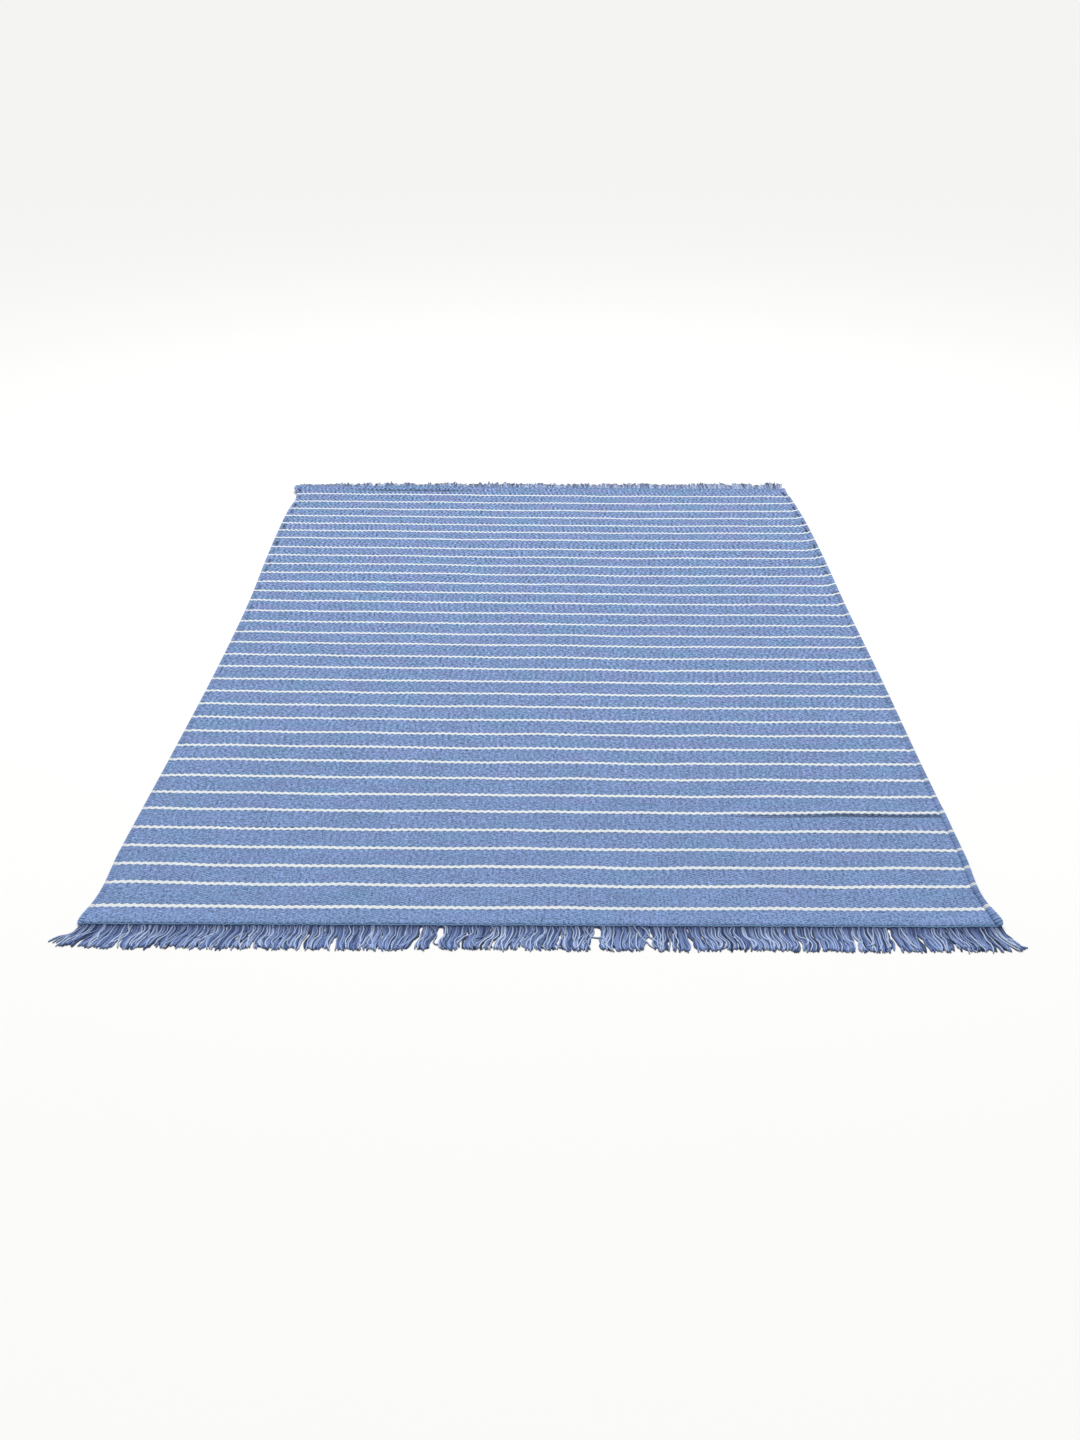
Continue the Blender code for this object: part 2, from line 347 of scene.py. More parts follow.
# Growth of the picks' waving and of the coarse grain from the near end to the far end, as factors.
NEAR_WAVE, FAR_WAVE = 2.0, 14.0
NEAR_COARSE, FAR_COARSE = 0.6, 3.0

# The coarse grain, the dark specks and the change of hue: how often each repeats across and along, then how
# the noise of the specks and of the patches of deeper painted shade between grains is stretched to a factor.
PICKS_PER_BAND = 3.0
COLUMN_TONE = 0.12
COARSE_STRETCH = (0.95, 0.45)
SPECK_STRETCH = (1.60, 0.55)
HUE_STRETCH = (9.0, 36.0)
SPECK_RANGE = (0.32, 0.56, 0.42, 1.16)
PATCH_RANGE = (0.35, 0.65, 0.55, 1.75)

# Painted shade: how sharply it grows as a grain sinks at its rim, and how much darker a grain is beside a
# stripe and in a trough.
DIP_POWER = 1.7
STRIPE_SHADE = 0.16
TROUGH_SHADE = 0.30

# The floor: the radii of its inner rings, and the number of points on each ring.
FLOOR_RINGS = (0.0, 1.5, 4.0, 12.0, 40.0)
FLOOR_SIDES = 48


def smooth_line(stations, values, places):
    """Cubic pieces through the stations, with slopes taken from the neighbouring stations."""
    slopes = np.gradient(values, stations)
    low = np.clip(np.searchsorted(stations, places) - 1, 0, len(stations) - 2)
    step = stations[low + 1] - stations[low]
    t = (np.clip(places, stations[0], stations[-1]) - stations[low]) / step
    ease = 3 * t**2 - 2 * t**3
    leaving = slopes[low] * step * (t**3 - 2 * t**2 + t)
    arriving = slopes[low + 1] * step * (t**3 - t**2)
    return values[low] * (1 - ease) + values[low + 1] * ease + leaving + arriving


def waves(rows, x, along):
    """Sum of sine waves, each running obliquely over the rug at its own wavelengths across and along."""
    total = np.zeros(np.broadcast(x, along).shape)
    for height, across_length, along_length, phase in zip(*rows.values()):
        total = total + height * np.sin(2 * math.pi * (x / across_length + along / along_length) + phase)
    return total


def side_edges(along):
    """The cloth's left and right edge at each place along the rug."""
    return [smooth_line(SIDE_LINES["along"], SIDE_LINES[side], along) for side in ("left", "right")]


def floor_clearance(x, along):
    """Height of the underside: the sum of smooth mounds, each exactly zero outside its own ellipse."""
    height = np.zeros(np.broadcast(x, along).shape)
    for across, place, reach_across, reach_along, top in zip(*SWELLS.values()):
        distance = ((x - across) / reach_across) ** 2 + ((along - place) / reach_along) ** 2
        height = height + top * np.clip(1 - distance, 0, None) ** 2
    return height


def trough_depth(x, along):
    """Depth of the troughs below the cloth's top, and the share of each trough's own depth at each point.

    A trough's section is a smooth bell between its two sides, and its depth along the pick is a half sine.
    """
    depth = np.zeros(np.broadcast(x, along).shape)
    share = np.zeros(depth.shape)
    for low, high, place, half_width, deepest in zip(*TROUGHS.values()):
        bell = np.clip(1 - ((along - place) / half_width) ** 2, 0, None) ** 2
        reach = np.sin(math.pi * np.clip((x - low) / (high - low), 0, 1)) ** 0.7
        depth = depth + deepest * bell * reach
        share = np.maximum(share, bell * reach)
    return depth, share


def pick_y(x, along, length):
    """Y of a point on the pick that crosses the rug's middle at this place: the pick's straight skewed line,
    plus its bow, its hook at the right edge, and slow waves that fade out at both woven ends."""
    places = np.array(BOW_PLACES)
    weights = np.eye(len(places))[1:-1]
    hook = np.interp(along, HOOKS["along"], HOOKS["reach"])
    bow = hook * np.clip(1 - (side_edges(along)[1] - x) / HOOK_WIDTH, 0, 1) ** 2
    for part, weight in zip(("near", "middle", "far"), weights):
        bow = bow + smooth_line(PICK_BOW["across"], PICK_BOW[part], x) * np.interp(along, places, weight)
    fade = np.clip(np.minimum(along, length - along) / WAVE_FADE, 0, 1)
    return along - length / 2 - PICK_SLOPE * x + bow + fade * waves(PICK_WAVES, x, along)


def pick_numbers(cloth):
    """Places along the rug where the picks' spacing changes, and the number of the pick at each.

    The pale weft is finer, so the picks of a stripe lie closer together than the blue ones between. Each blue
    band has the even number of picks that comes closest to the usual spacing. A pick's middle is at its whole
    number, so the first pick's near side is at minus a half.
    """
    middles = STRIPE_MIDDLES / 1000
    half = cloth.stripe_width / 2
    edges = np.stack([middles - half, middles + half], axis=1).ravel()
    places = np.concatenate([[0.0], edges, [cloth.length]])
    widths = np.diff(places)
    counts = 2 * np.round(widths / cloth.pick_spacing / 2)
    counts[1::2] = cloth.stripe_picks
    return places, np.concatenate([[0.0], np.cumsum(counts)]) - 0.5


def stripe_middles(cloth):
    """The pick number at the middle of each stripe."""
    numbers = pick_numbers(cloth)[1]
    return (numbers[1:-1:2] + numbers[2:-1:2]) / 2


def new_mesh(name, points, faces, smooth=True):
    """A mesh from an array of points and a list of arrays of faces with equal numbers of corners."""
    mesh = bpy.data.meshes.new(name)
    corners = np.concatenate([part.ravel() for part in faces]).astype(np.int32)
    totals = np.concatenate([np.full(len(part), part.shape[1]) for part in faces]).astype(np.int32)
    starts = np.concatenate([[0], np.cumsum(totals)[:-1]]).astype(np.int32)
    mesh.vertices.add(len(points))
    mesh.vertices.foreach_set("co", np.ascontiguousarray(points, np.float32).ravel())
    mesh.loops.add(len(corners))
    mesh.loops.foreach_set("vertex_index", corners)
    mesh.polygons.add(len(totals))
    mesh.polygons.foreach_set("loop_start", starts)
    mesh.polygons.foreach_set("loop_total", totals)
    mesh.update(calc_edges=True)
    mesh.validate()
    if smooth:
        mesh.shade_smooth()
    return mesh


def add_map(mesh, name, values):
    """A UV map whose value at each face corner is a row of values."""
    layer = mesh.uv_layers.new(name=name)
    layer.data.foreach_set("uv", np.ascontiguousarray(values, np.float32).ravel())


def corner_points(mesh):
    """The point at each face corner."""
    corners = np.empty(len(mesh.loops), np.int32)
    mesh.loops.foreach_get("vertex_index", corners)
    return corners


def corner_faces(mesh):
    """The face of each corner, and each face's number of corners."""
    totals = np.empty(len(mesh.polygons), np.int32)
    mesh.polygons.foreach_get("loop_total", totals)
    return np.repeat(np.arange(len(totals)), totals), totals


def weave_maps(mesh, cloth, warps, along, openness=1.0):
    """Two maps that the cloth's material reads: "weave" holds the warp and the pick at each point as numbers
    counted from the middle and from the near end, and "stripes" the picks from the middle of the face's
    nearest stripe, and the strength of the painted shade between grains, in troughs and beside the cords."""
    picks = np.interp(along, *pick_numbers(cloth))
    openness = np.interp(along, *WEAVE_PAINTED_SHADE) * openness
    corners = corner_points(mesh)
    face, totals = corner_faces(mesh)
    pick = picks[corners]
    middle = np.bincount(face, pick) / totals
    stripes = stripe_middles(cloth)
    nearest = stripes[np.abs(middle[:, None] - stripes[None, :]).argmin(axis=1)]
    add_map(mesh, "weave", np.stack([warps[corners], pick], axis=1))
    add_map(mesh, "stripes", np.stack([pick - nearest[face], openness[corners]], axis=1))


def add_piece(name, mesh, material, replaces=()):
    """Puts a finished mesh into the scene on the rug's one body."""
    mesh.materials.append(material)
    piece = bpy.data.objects.new(name, mesh)
    bpy.context.scene.collection.objects.link(piece)
    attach(piece, "root")
    if replaces:
        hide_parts(*replaces)
    return piece


def closed_sheet(name, under, top):
    """A sheet between two grids of points of the same size, closed round its rim, and the number of its
    underside's faces, which come first.

    Both grids are [row, column, xyz]. Row by row, the points are the underside's and then the top's.
    """
    rows, columns = top.shape[:2]
    index = np.arange(rows * columns).reshape(rows, columns)
    low = np.stack([index[:-1, :-1], index[1:, :-1], index[1:, 1:], index[:-1, 1:]], axis=2).reshape(-1, 4)
    high = low[:, ::-1] + rows * columns
    rim = np.concatenate([index[0], index[1:, -1], index[-1, -2::-1], index[-2:0:-1, 0]])
    after = np.roll(rim, -1)
    wall = np.stack([rim, after, after + rows * columns, rim + rows * columns], axis=1)
    points = np.concatenate([under.reshape(-1, 3), top.reshape(-1, 3)])
    return new_mesh(name, points, [low, high, wall]), len(low)


def tube_faces(count, rings, sides):
    """Faces of a number of tubes of rings by sides points, and the polygons that close their two ends."""
    index = np.arange(count * rings * sides).reshape(count, rings, sides)
    turned = np.roll(index, -1, axis=2)
    wall = np.stack([index[:, :-1], turned[:, :-1], turned[:, 1:], index[:, 1:]], axis=3).reshape(-1, 4)
    return wall, index[:, 0, ::-1].reshape(-1, sides), index[:, -1].reshape(-1, sides)


def tubes(name, lines, sideways, upwards):
    """Tubes carried along lines: a point is the line's point, plus its section's offset sideways along the
    line's level normal, plus its offset upwards along the other normal.

    lines is [tube, ring, xyz], and the offsets are [tube, ring, side], turning anticlockwise.
    """
    tangent = np.gradient(lines, axis=1)
    tangent /= np.linalg.norm(tangent, axis=2, keepdims=True)
    across = np.cross(tangent, np.array([0.0, 0.0, 1.0]))
    across /= np.linalg.norm(across, axis=2, keepdims=True)
    up = np.cross(across, tangent)
    points = lines[:, :, None] + sideways[..., None] * across[:, :, None] + upwards[..., None] * up[:, :, None]
    wall, starts, ends = tube_faces(*sideways.shape)
    # Seen along the line, across, up and the line form a left-handed set, so the faces are turned round.
    return new_mesh(name, points.reshape(-1, 3), [wall[:, ::-1], starts[:, ::-1], ends[:, ::-1]])


def oval(half_width, half_height, sides):
    """Offsets of oval sections, from their half sizes [tube, ring]: the cosine and sine of even angles."""
    angle = 2 * math.pi * np.arange(sides) / sides
    return half_width[:, :, None] * np.cos(angle), half_height[:, :, None] * np.sin(angle)


def yarn_maps(mesh, lines, sides, tones, lit=0.0):
    """Two maps that the yarn's material reads: "yarn" holds the share of a turn round the yarn and the
    distance along it, and "shade" each yarn's tone and the share of its length, from this much of it on."""
    count, rings = lines.shape[:2]
    step = np.linalg.norm(np.diff(lines, axis=1), axis=2)
    distance = np.concatenate([np.zeros((count, 1)), np.cumsum(step, axis=1)], axis=1)
    share = lit + (1 - lit) * distance / distance[:, -1:]
    distance = distance + TWIST_SHIFT * np.arange(count)[:, None]
    tube, ring, side = np.unravel_index(corner_points(mesh), (count, rings, sides))
    # On the wall's last column of faces, the corners on side 0 are a whole turn round.
    face, totals = corner_faces(mesh)
    last = np.bincount(face, side == sides - 1)[face] > 0
    closing = (side == 0) & last & (totals[face] == 4)
    turn = np.where(closing, 1.0, side / sides)
    add_map(mesh, "yarn", np.stack([turn, distance[tube, ring]], axis=1))
    add_map(mesh, "shade", np.stack([tones[tube], share[tube, ring]], axis=1))


def node(tree, kind, **settings):
    """A new shader node with these settings."""
    made = tree.nodes.new(kind)
    for name, value in settings.items():
        setattr(made, name, value)
    return made


def feed(tree, socket, value):
    """Links a socket to an output, or sets it to a value."""
    value = getattr(value, "output", value)
    if isinstance(value, bpy.types.NodeSocket):
        tree.links.new(value, socket)
    else:
        socket.default_value = value


class Number:
    """A number that a shader node puts out. Arithmetic with it makes Math nodes."""

    def __init__(self, tree, output):
        self.tree = tree
        self.output = output

    def __add__(self, other):
        return calc(self.tree, "ADD", self, other)

    def __sub__(self, other):
        return calc(self.tree, "SUBTRACT", self, other)

    def __rsub__(self, other):
        return calc(self.tree, "SUBTRACT", other, self)

    def __mul__(self, other):
        return calc(self.tree, "MULTIPLY", self, other)

    def __truediv__(self, other):
        return calc(self.tree, "DIVIDE", self, other)

    def scaled(self, factor, offset):
        """The number times a factor, plus an offset."""
        return calc(self.tree, "MULTIPLY_ADD", self, factor, offset)

    def varied(self, reach):
        """For a number from 0 to 1: a factor round 1 that changes by this much in all."""
        return self.scaled(reach, 1.0 - reach / 2)

    def at_least(self, least):
        return calc(self.tree, "MAXIMUM", self, least)

    def calc(self, operation, *others):
        """The output of another Math node on this number."""
        return calc(self.tree, operation, self, *others)


def calc(tree, operation, *values):
    """The output of a Math node."""
    made = node(tree, "ShaderNodeMath", operation=operation)
    for socket, value in zip(made.inputs, values):
        feed(tree, socket, value)
    return Number(tree, made.outputs[0])


def parts(tree, vector):
    """The three numbers of a vector."""
    made = node(tree, "ShaderNodeSeparateXYZ")
    feed(tree, made.inputs[0], vector)
    return [Number(tree, output) for output in made.outputs]


def uv_map(tree, name):
    return node(tree, "ShaderNodeUVMap", uv_map=name).outputs[0]


def object_place(tree):
    return node(tree, "ShaderNodeTexCoord").outputs["Object"]


def noise(tree, vector, scale, detail):
    """The value of a noise texture in space."""
    return noise_value(tree, "3D", vector, scale, detail, 0.5)


def flat_noise(tree, vector, stretch, detail, roughness=0.5):
    """The value of a flat noise texture over a vector, times a factor for each of its first two parts."""
    stretched = node(tree, "ShaderNodeVectorMath", operation="MULTIPLY")
    feed(tree, stretched.inputs[0], vector)
    stretched.inputs[1].default_value = (*stretch, 0.0)
    return noise_value(tree, "2D", stretched.outputs[0], 1.0, detail, roughness)


def noise_value(tree, dimensions, *values):
    """The value of a noise texture with this vector, scale, detail and roughness."""
    made = node(tree, "ShaderNodeTexNoise", noise_dimensions=dimensions)
    for name, value in zip(("Vector", "Scale", "Detail", "Roughness"), values):
        feed(tree, made.inputs[name], value)
    return Number(tree, made.outputs["Fac"])


def white_noise(tree, value, dimensions="1D"):
    """A number from 0 to 1 that has nothing to do with those of other values."""
    made = node(tree, "ShaderNodeTexWhiteNoise", noise_dimensions=dimensions)
    feed(tree, made.inputs["W" if dimensions == "1D" else "Vector"], value)
    return Number(tree, made.outputs["Value"])


def ranged(tree, value, low, high, new_low, new_high):
    """The value with one range stretched to another and clamped to it."""
    made = node(tree, "ShaderNodeMapRange")
    names = ("Value", "From Min", "From Max", "To Min", "To Max")
    for name, setting in zip(names, (value, low, high, new_low, new_high)):
        feed(tree, made.inputs[name], setting)
    return Number(tree, made.outputs["Result"])


def blend_colours(tree, share, first, second):
    """The output of a Mix node on colours: first at share 0, second at share 1."""
    made = node(tree, "ShaderNodeMix", data_type="RGBA")
    for socket, value in ((0, share), (6, first), (7, second)):
        feed(tree, made.inputs[socket], value)
    return made.outputs[2]


def times(tree, colour, factor):
    """A colour times a number, by a Vector Math node."""
    made = node(tree, "ShaderNodeVectorMath", operation="SCALE")
    feed(tree, made.inputs[0], colour)
    feed(tree, made.inputs["Scale"], factor)
    return made.outputs[0]


def new_group(name, inputs, outputs, vectors=()):
    """An empty node group whose inputs and outputs are numbers, besides outputs that are vectors. Gives the
    group, its inputs as Numbers by name, and the sockets of its outputs."""
    group = bpy.data.node_groups.new(name, "ShaderNodeTree")
    kinds = (("INPUT", "Float", inputs), ("OUTPUT", "Float", outputs), ("OUTPUT", "Vector", vectors))
    for way, kind, names in kinds:
        for socket in names:
            group.interface.new_socket(socket, in_out=way, socket_type="NodeSocket" + kind)
    return group, numbers(group, group.nodes.new("NodeGroupInput")), group.nodes.new("NodeGroupOutput").inputs


def numbers(tree, made):
    """A node's outputs as Numbers, by name."""
    return {output.name: Number(tree, output) for output in made.outputs}


def use_group(tree, build, **values):
    """The outputs of a node group placed in a tree with these values. The group has its builder's name, and
    is built the first time it is asked for."""
    made = node(tree, "ShaderNodeGroup", node_tree=bpy.data.node_groups.get(build.__name__) or build())
    for name, value in values.items():
        feed(tree, made.inputs[name.replace("_", " ")], value)
    return numbers(tree, made)


def weft_grains():
    """Weft grains of a plain weave whose weft hides the warp.

    Even picks show over even warps and odd picks over odd warps, so the grains lie like bricks. A grain is an
    oval dome, and where two overlap the higher one shows. The group gives the dome's height, the shown
    grain's warp and pick, whether that pick belongs to a stripe, and whether it lies next to one.
    """
    group, given, wanted = new_group(
        "weft_grains", ("Warp", "Pick", "From stripe", "Stripe picks", "Wave"),
        ("Height", "Stripe", "Beside stripe"), ("Grain",),
    )
    warp = given["Warp"]
    wave = (warp * math.pi).calc("COSINE") * given["Wave"]
    waved_pick = given["Pick"] + wave
    found = []
    for shift in (0.0, 1.0):
        across = (warp - shift).calc("WRAP", 1.0, -1.0)
        along = (waved_pick - shift).calc("WRAP", 1.0, -1.0)
        left_over = 1.0 - (across * across + along * along)
        found.append((across, along, left_over.at_least(0.0).calc("SQRT")))
    (even_across, even_along, even_top), (odd_across, odd_along, odd_top) = found
    odd_shows = odd_top.calc("GREATER_THAN", even_top)
    off_warp = even_across + odd_shows * (odd_across - even_across)
    off_pick = even_along + odd_shows * (odd_along - even_along)
    grain = node(group, "ShaderNodeCombineXYZ")
    feed(group, grain.inputs[0], (warp - off_warp).calc("ROUND"))
    feed(group, grain.inputs[1], (waved_pick - off_pick).calc("ROUND"))
    from_middle = (given["From stripe"] + wave - off_pick).calc("ABSOLUTE")
    half = given["Stripe picks"] * 0.5
    next_pick = (from_middle - half - 0.5).calc("ABSOLUTE")
    feed(group, wanted["Height"], even_top.at_least(odd_top))
    feed(group, wanted["Stripe"], from_middle.calc("LESS_THAN", half))
    feed(group, wanted["Beside stripe"], next_pick.calc("LESS_THAN", 0.25))
    feed(group, wanted["Grain"], grain.outputs[0])
    return group


def yarn_twist():
    """Plied yarn: ridges that wind round it, as a sine of the turns round the yarn and along it."""
    group, given, wanted = new_group("yarn_twist", ("Turn", "Distance", "Plies", "Twist length"), ("Height",))
    turns = given["Turn"] + given["Distance"] / given["Twist length"]
    wave = (turns * given["Plies"] * math.pi).calc("SINE").calc("ABSOLUTE")
    feed(group, wanted["Height"], wave.calc("POWER", RIDGE_POWER))
    return group


def cotton_mottle():
    """Slow change of tone over the rug, and fine fibre noise, from Object coordinates."""
    group, given, wanted = new_group("cotton_mottle", ("Scale", "Fibre scale"), ("Slow", "Fibre"))
    place = object_place(group)
    feed(group, wanted["Slow"], noise(group, place, given["Scale"], 2.0))
    feed(group, wanted["Fibre"], noise(group, place, given["Fibre scale"], 3.0))
    return group


def new_material(name, roughness, sheen):
    """A cotton material's tree and Principled shader, with the values that are the same all over it."""
    material = bpy.data.materials.new(name)
    material.use_nodes = True
    shader = material.node_tree.nodes["Principled BSDF"]
    for socket, value in (
        ("Roughness", roughness), ("Metallic", 0.0), ("Specular IOR Level", 0.25),
        ("Sheen Weight", sheen), ("Sheen Roughness", 0.5),
    ):
        shader.inputs[socket].default_value = value
    return material, material.node_tree, shader


def finish_material(tree, shader, colour, fibre, roughness, height, distance):
    """Feeds a cotton shader its colour, a roughness that varies with the fibre, and a bump of this height."""
    feed(tree, shader.inputs["Base Color"], colour)
    feed(tree, shader.inputs["Roughness"], fibre.scaled(FIBRE_ROUGHNESS, roughness))
    made = node(tree, "ShaderNodeBump")
    made.inputs["Distance"].default_value = distance
    feed(tree, made.inputs["Height"], height)
    feed(tree, shader.inputs["Normal"], made.outputs["Normal"])


def woven_cotton(cloth, colours):
    """The cloth: stripes of pale picks in blue ones, grains that sink at their rims, and uneven dye.

    A blue grain's tone is a product of factors: its own, its pick's, the slow mottle's, the fibre's, a coarse
    grain over a few picks, dark specks, and painted shade in the gaps, beside the stripes, in the troughs and
    in the grooves beside the cords. The pale picks have painted shade in their gaps, and painted light that
    brightens them towards the far end. The waves, the coarse grain and the change of hue grow towards the far
    end.
    """
    found = bpy.data.materials.get("woven_cotton_grains")
    if found:
        return found
    material, tree, shader = new_material("woven_cotton_grains", 0.9, 0.1)
    weave, place = uv_map(tree, "weave"), object_place(tree)
    warp, pick, _ = parts(tree, weave)
    from_stripe, openness, _ = parts(tree, uv_map(tree, "stripes"))
    far_share = parts(tree, place)[1].scaled(1 / cloth.length, 0.5)
    mottle = use_group(tree, cotton_mottle, Scale=9.0, Fibre_scale=900.0)
    slow, fibre = mottle["Slow"], mottle["Fibre"]
    wave = slow * far_share.scaled(FAR_WAVE * cloth.pick_wave, NEAR_WAVE * cloth.pick_wave)
    grains = use_group(
        tree, weft_grains, Warp=warp, Pick=pick, From_stripe=from_stripe,
        Stripe_picks=float(cloth.stripe_picks), Wave=wave,
    )
    each = white_noise(tree, grains["Grain"], "2D")
    row = white_noise(tree, parts(tree, grains["Grain"])[1])
    tone = each.varied(cloth.grain_tone) * row.varied(PICK_TONE)
    tone = tone * slow.varied(SLOW_TONE) * fibre.varied(FIBRE_TONE)

    band = white_noise(tree, (pick / PICKS_PER_BAND).calc("FLOOR"))
    columns = (band.scaled(2.0, warp) * math.pi).calc("COSINE")
    coarse = columns.scaled(COLUMN_TONE, flat_noise(tree, weave, COARSE_STRETCH, 0.0) - 0.5)
    coarse_grain = far_share.scaled(FAR_COARSE * cloth.coarse_grain, NEAR_COARSE * cloth.coarse_grain)
    specks = ranged(tree, flat_noise(tree, weave, SPECK_STRETCH, 2.0, 0.9), *SPECK_RANGE)
    patches = ranged(tree, noise(tree, place, 28.0, 3.0), *PATCH_RANGE)
    # Painted shade: a grain darkens towards its rim and in the gaps, more in patches and where the painted
    # shade strength is high.
    painted_gap_shade_mask = (1.0 - grains["Height"]).calc("POWER", DIP_POWER)
    painted_gap_shade_mask = painted_gap_shade_mask * (patches * each.scaled(0.6, 0.7) * openness)
    shade = painted_gap_shade_mask.scaled(-cloth.dip_depth, 1.0).at_least(0.15)
    # Painted shade on the blue grains next to a stripe.
    shade = shade * grains["Beside stripe"].scaled(-STRIPE_SHADE, 1.0)
    # Painted shade in the troughs and beside the cords, where the painted shade strength passes one.
    shade = shade * (openness - 1.0).at_least(0.0).scaled(-TROUGH_SHADE, 1.0)
    tone = tone * coarse.scaled(coarse_grain, 1.0) * specks * shade

    hue = (flat_noise(tree, place, HUE_STRETCH, 1.0) - 0.5) * far_share.scaled(1.6, 0.9) + 0.5
    dye = blend_colours(tree, hue, (*colours.blue, 1.0), (*colours.violet_blue, 1.0))
    # Painted light: the pale picks are a little brighter towards the far end, besides their painted gap shade.
    pale_tone = painted_gap_shade_mask.scaled(-0.35, 1.0) * far_share.scaled(0.12, 0.94)
    pale = times(tree, tuple(colours.pale), pale_tone)
    colour = blend_colours(tree, grains["Stripe"], times(tree, dye, tone), pale)
    relief = fibre.scaled(0.25, grains["Height"])
    finish_material(tree, shader, colour, fibre, 0.84, relief, cloth.grain_relief)
    return material


def twisted_cotton(name, deep, light, colours, yarn, tip=0.12):
    """A plied yarn, each with its own tone between the deep and the light colour, with painted shade on its
    sides, its underside and in the grooves of its twist, paler at its tip or darker there with painted shade,
    and darker still with painted shade at its root, where the cloth's edge shades it."""
    found = bpy.data.materials.get(name)
    if found:
        return found
    material, tree, shader = new_material(name, 0.92, 0.2)
    turn, distance, _ = parts(tree, uv_map(tree, "yarn"))
    yarn_tone, share, _ = parts(tree, uv_map(tree, "shade"))
    twist = use_group(
        tree, yarn_twist, Turn=turn, Distance=distance, Plies=float(yarn.plies), Twist_length=yarn.twist_length
    )["Height"]
    fibre = use_group(tree, cotton_mottle, Scale=14.0, Fibre_scale=1200.0)["Fibre"]
    # Painted shade: each yarn is darker on its sides and underside than on top, and darker in the grooves of
    # its twist.
    upper_side = (turn * (2 * math.pi)).calc("SINE")
    tone = yarn_tone.scaled(0.75, 0.35) * upper_side.scaled(0.52, 0.56) * twist.scaled(0.35, 0.72)
    # The tip: paler where tip is above nought, darker with painted shade where it is below, most on the darker
    # yarns.
    tip_wear_and_shade = share.calc("POWER", 4.0) * (1.0 - yarn_tone).at_least(0.0)
    tone = tone * fibre.varied(0.30) * tip_wear_and_shade.scaled(tip, 1.0)
    # Painted shade at the root: near the cloth's edge the colour turns to a dark painted shade blue, less so
    # on the lighter yarns.
    root_painted_shade = share.scaled(-2.2, 1.26).at_least(0.0).calc("MINIMUM", 1.0)
    root_painted_shade = root_painted_shade * root_painted_shade * yarn_tone.scaled(-0.26, 0.95).at_least(0.2)
    # The tone picks the blue: the deep blue for the dark yarns, which also carries the lower yarns' painted
    # shade, and the greyer light blue for the bright ones, a painted highlight that stands in for sheen.
    dye = blend_colours(tree, yarn_tone, (*deep, 1.0), (*light, 1.0))
    colour = blend_colours(tree, root_painted_shade, times(tree, dye, tone), (*colours.sheltered_fringe, 1.0))
    finish_material(tree, shader, colour, fibre, 0.86, fibre.scaled(0.2, twist), yarn.thickness * 0.16)
    return material


def floor_paint(colours):
    """A pale floor with a matt coat."""
    material = bpy.data.materials.new("pale_floor")
    material.use_nodes = True
    shader = material.node_tree.nodes["Principled BSDF"]
    shader.inputs["Base Color"].default_value = (*colours.floor, 1.0)
    shader.inputs["Roughness"].default_value = 0.9
    shader.inputs["Specular IOR Level"].default_value = 0.0
    return material


def body_rows(cloth, inset):
    """Rows of points between the two ends: one on each edge of each stripe, five across each trough, and
    evenly spaced ones between."""
    stops = pick_numbers(cloth)[0].copy()
    stops[0], stops[-1] = inset, cloth.length - inset
    in_troughs = TROUGHS["along"][:, None] + TROUGHS["half_width"][:, None] * np.linspace(-1, 1, 5)
    stops = np.sort(np.concatenate([stops, in_troughs.ravel()]))
    stops = stops[np.concatenate([[True], np.diff(stops) > LEAST_ROW_GAP])]
    rows = []
    for low, high in zip(stops[:-1], stops[1:]):
        count = max(1, round((high - low) / cloth.row_spacing))
        rows.append(np.linspace(low, high, count, endpoint=False))
    return np.concatenate(rows)[1:]


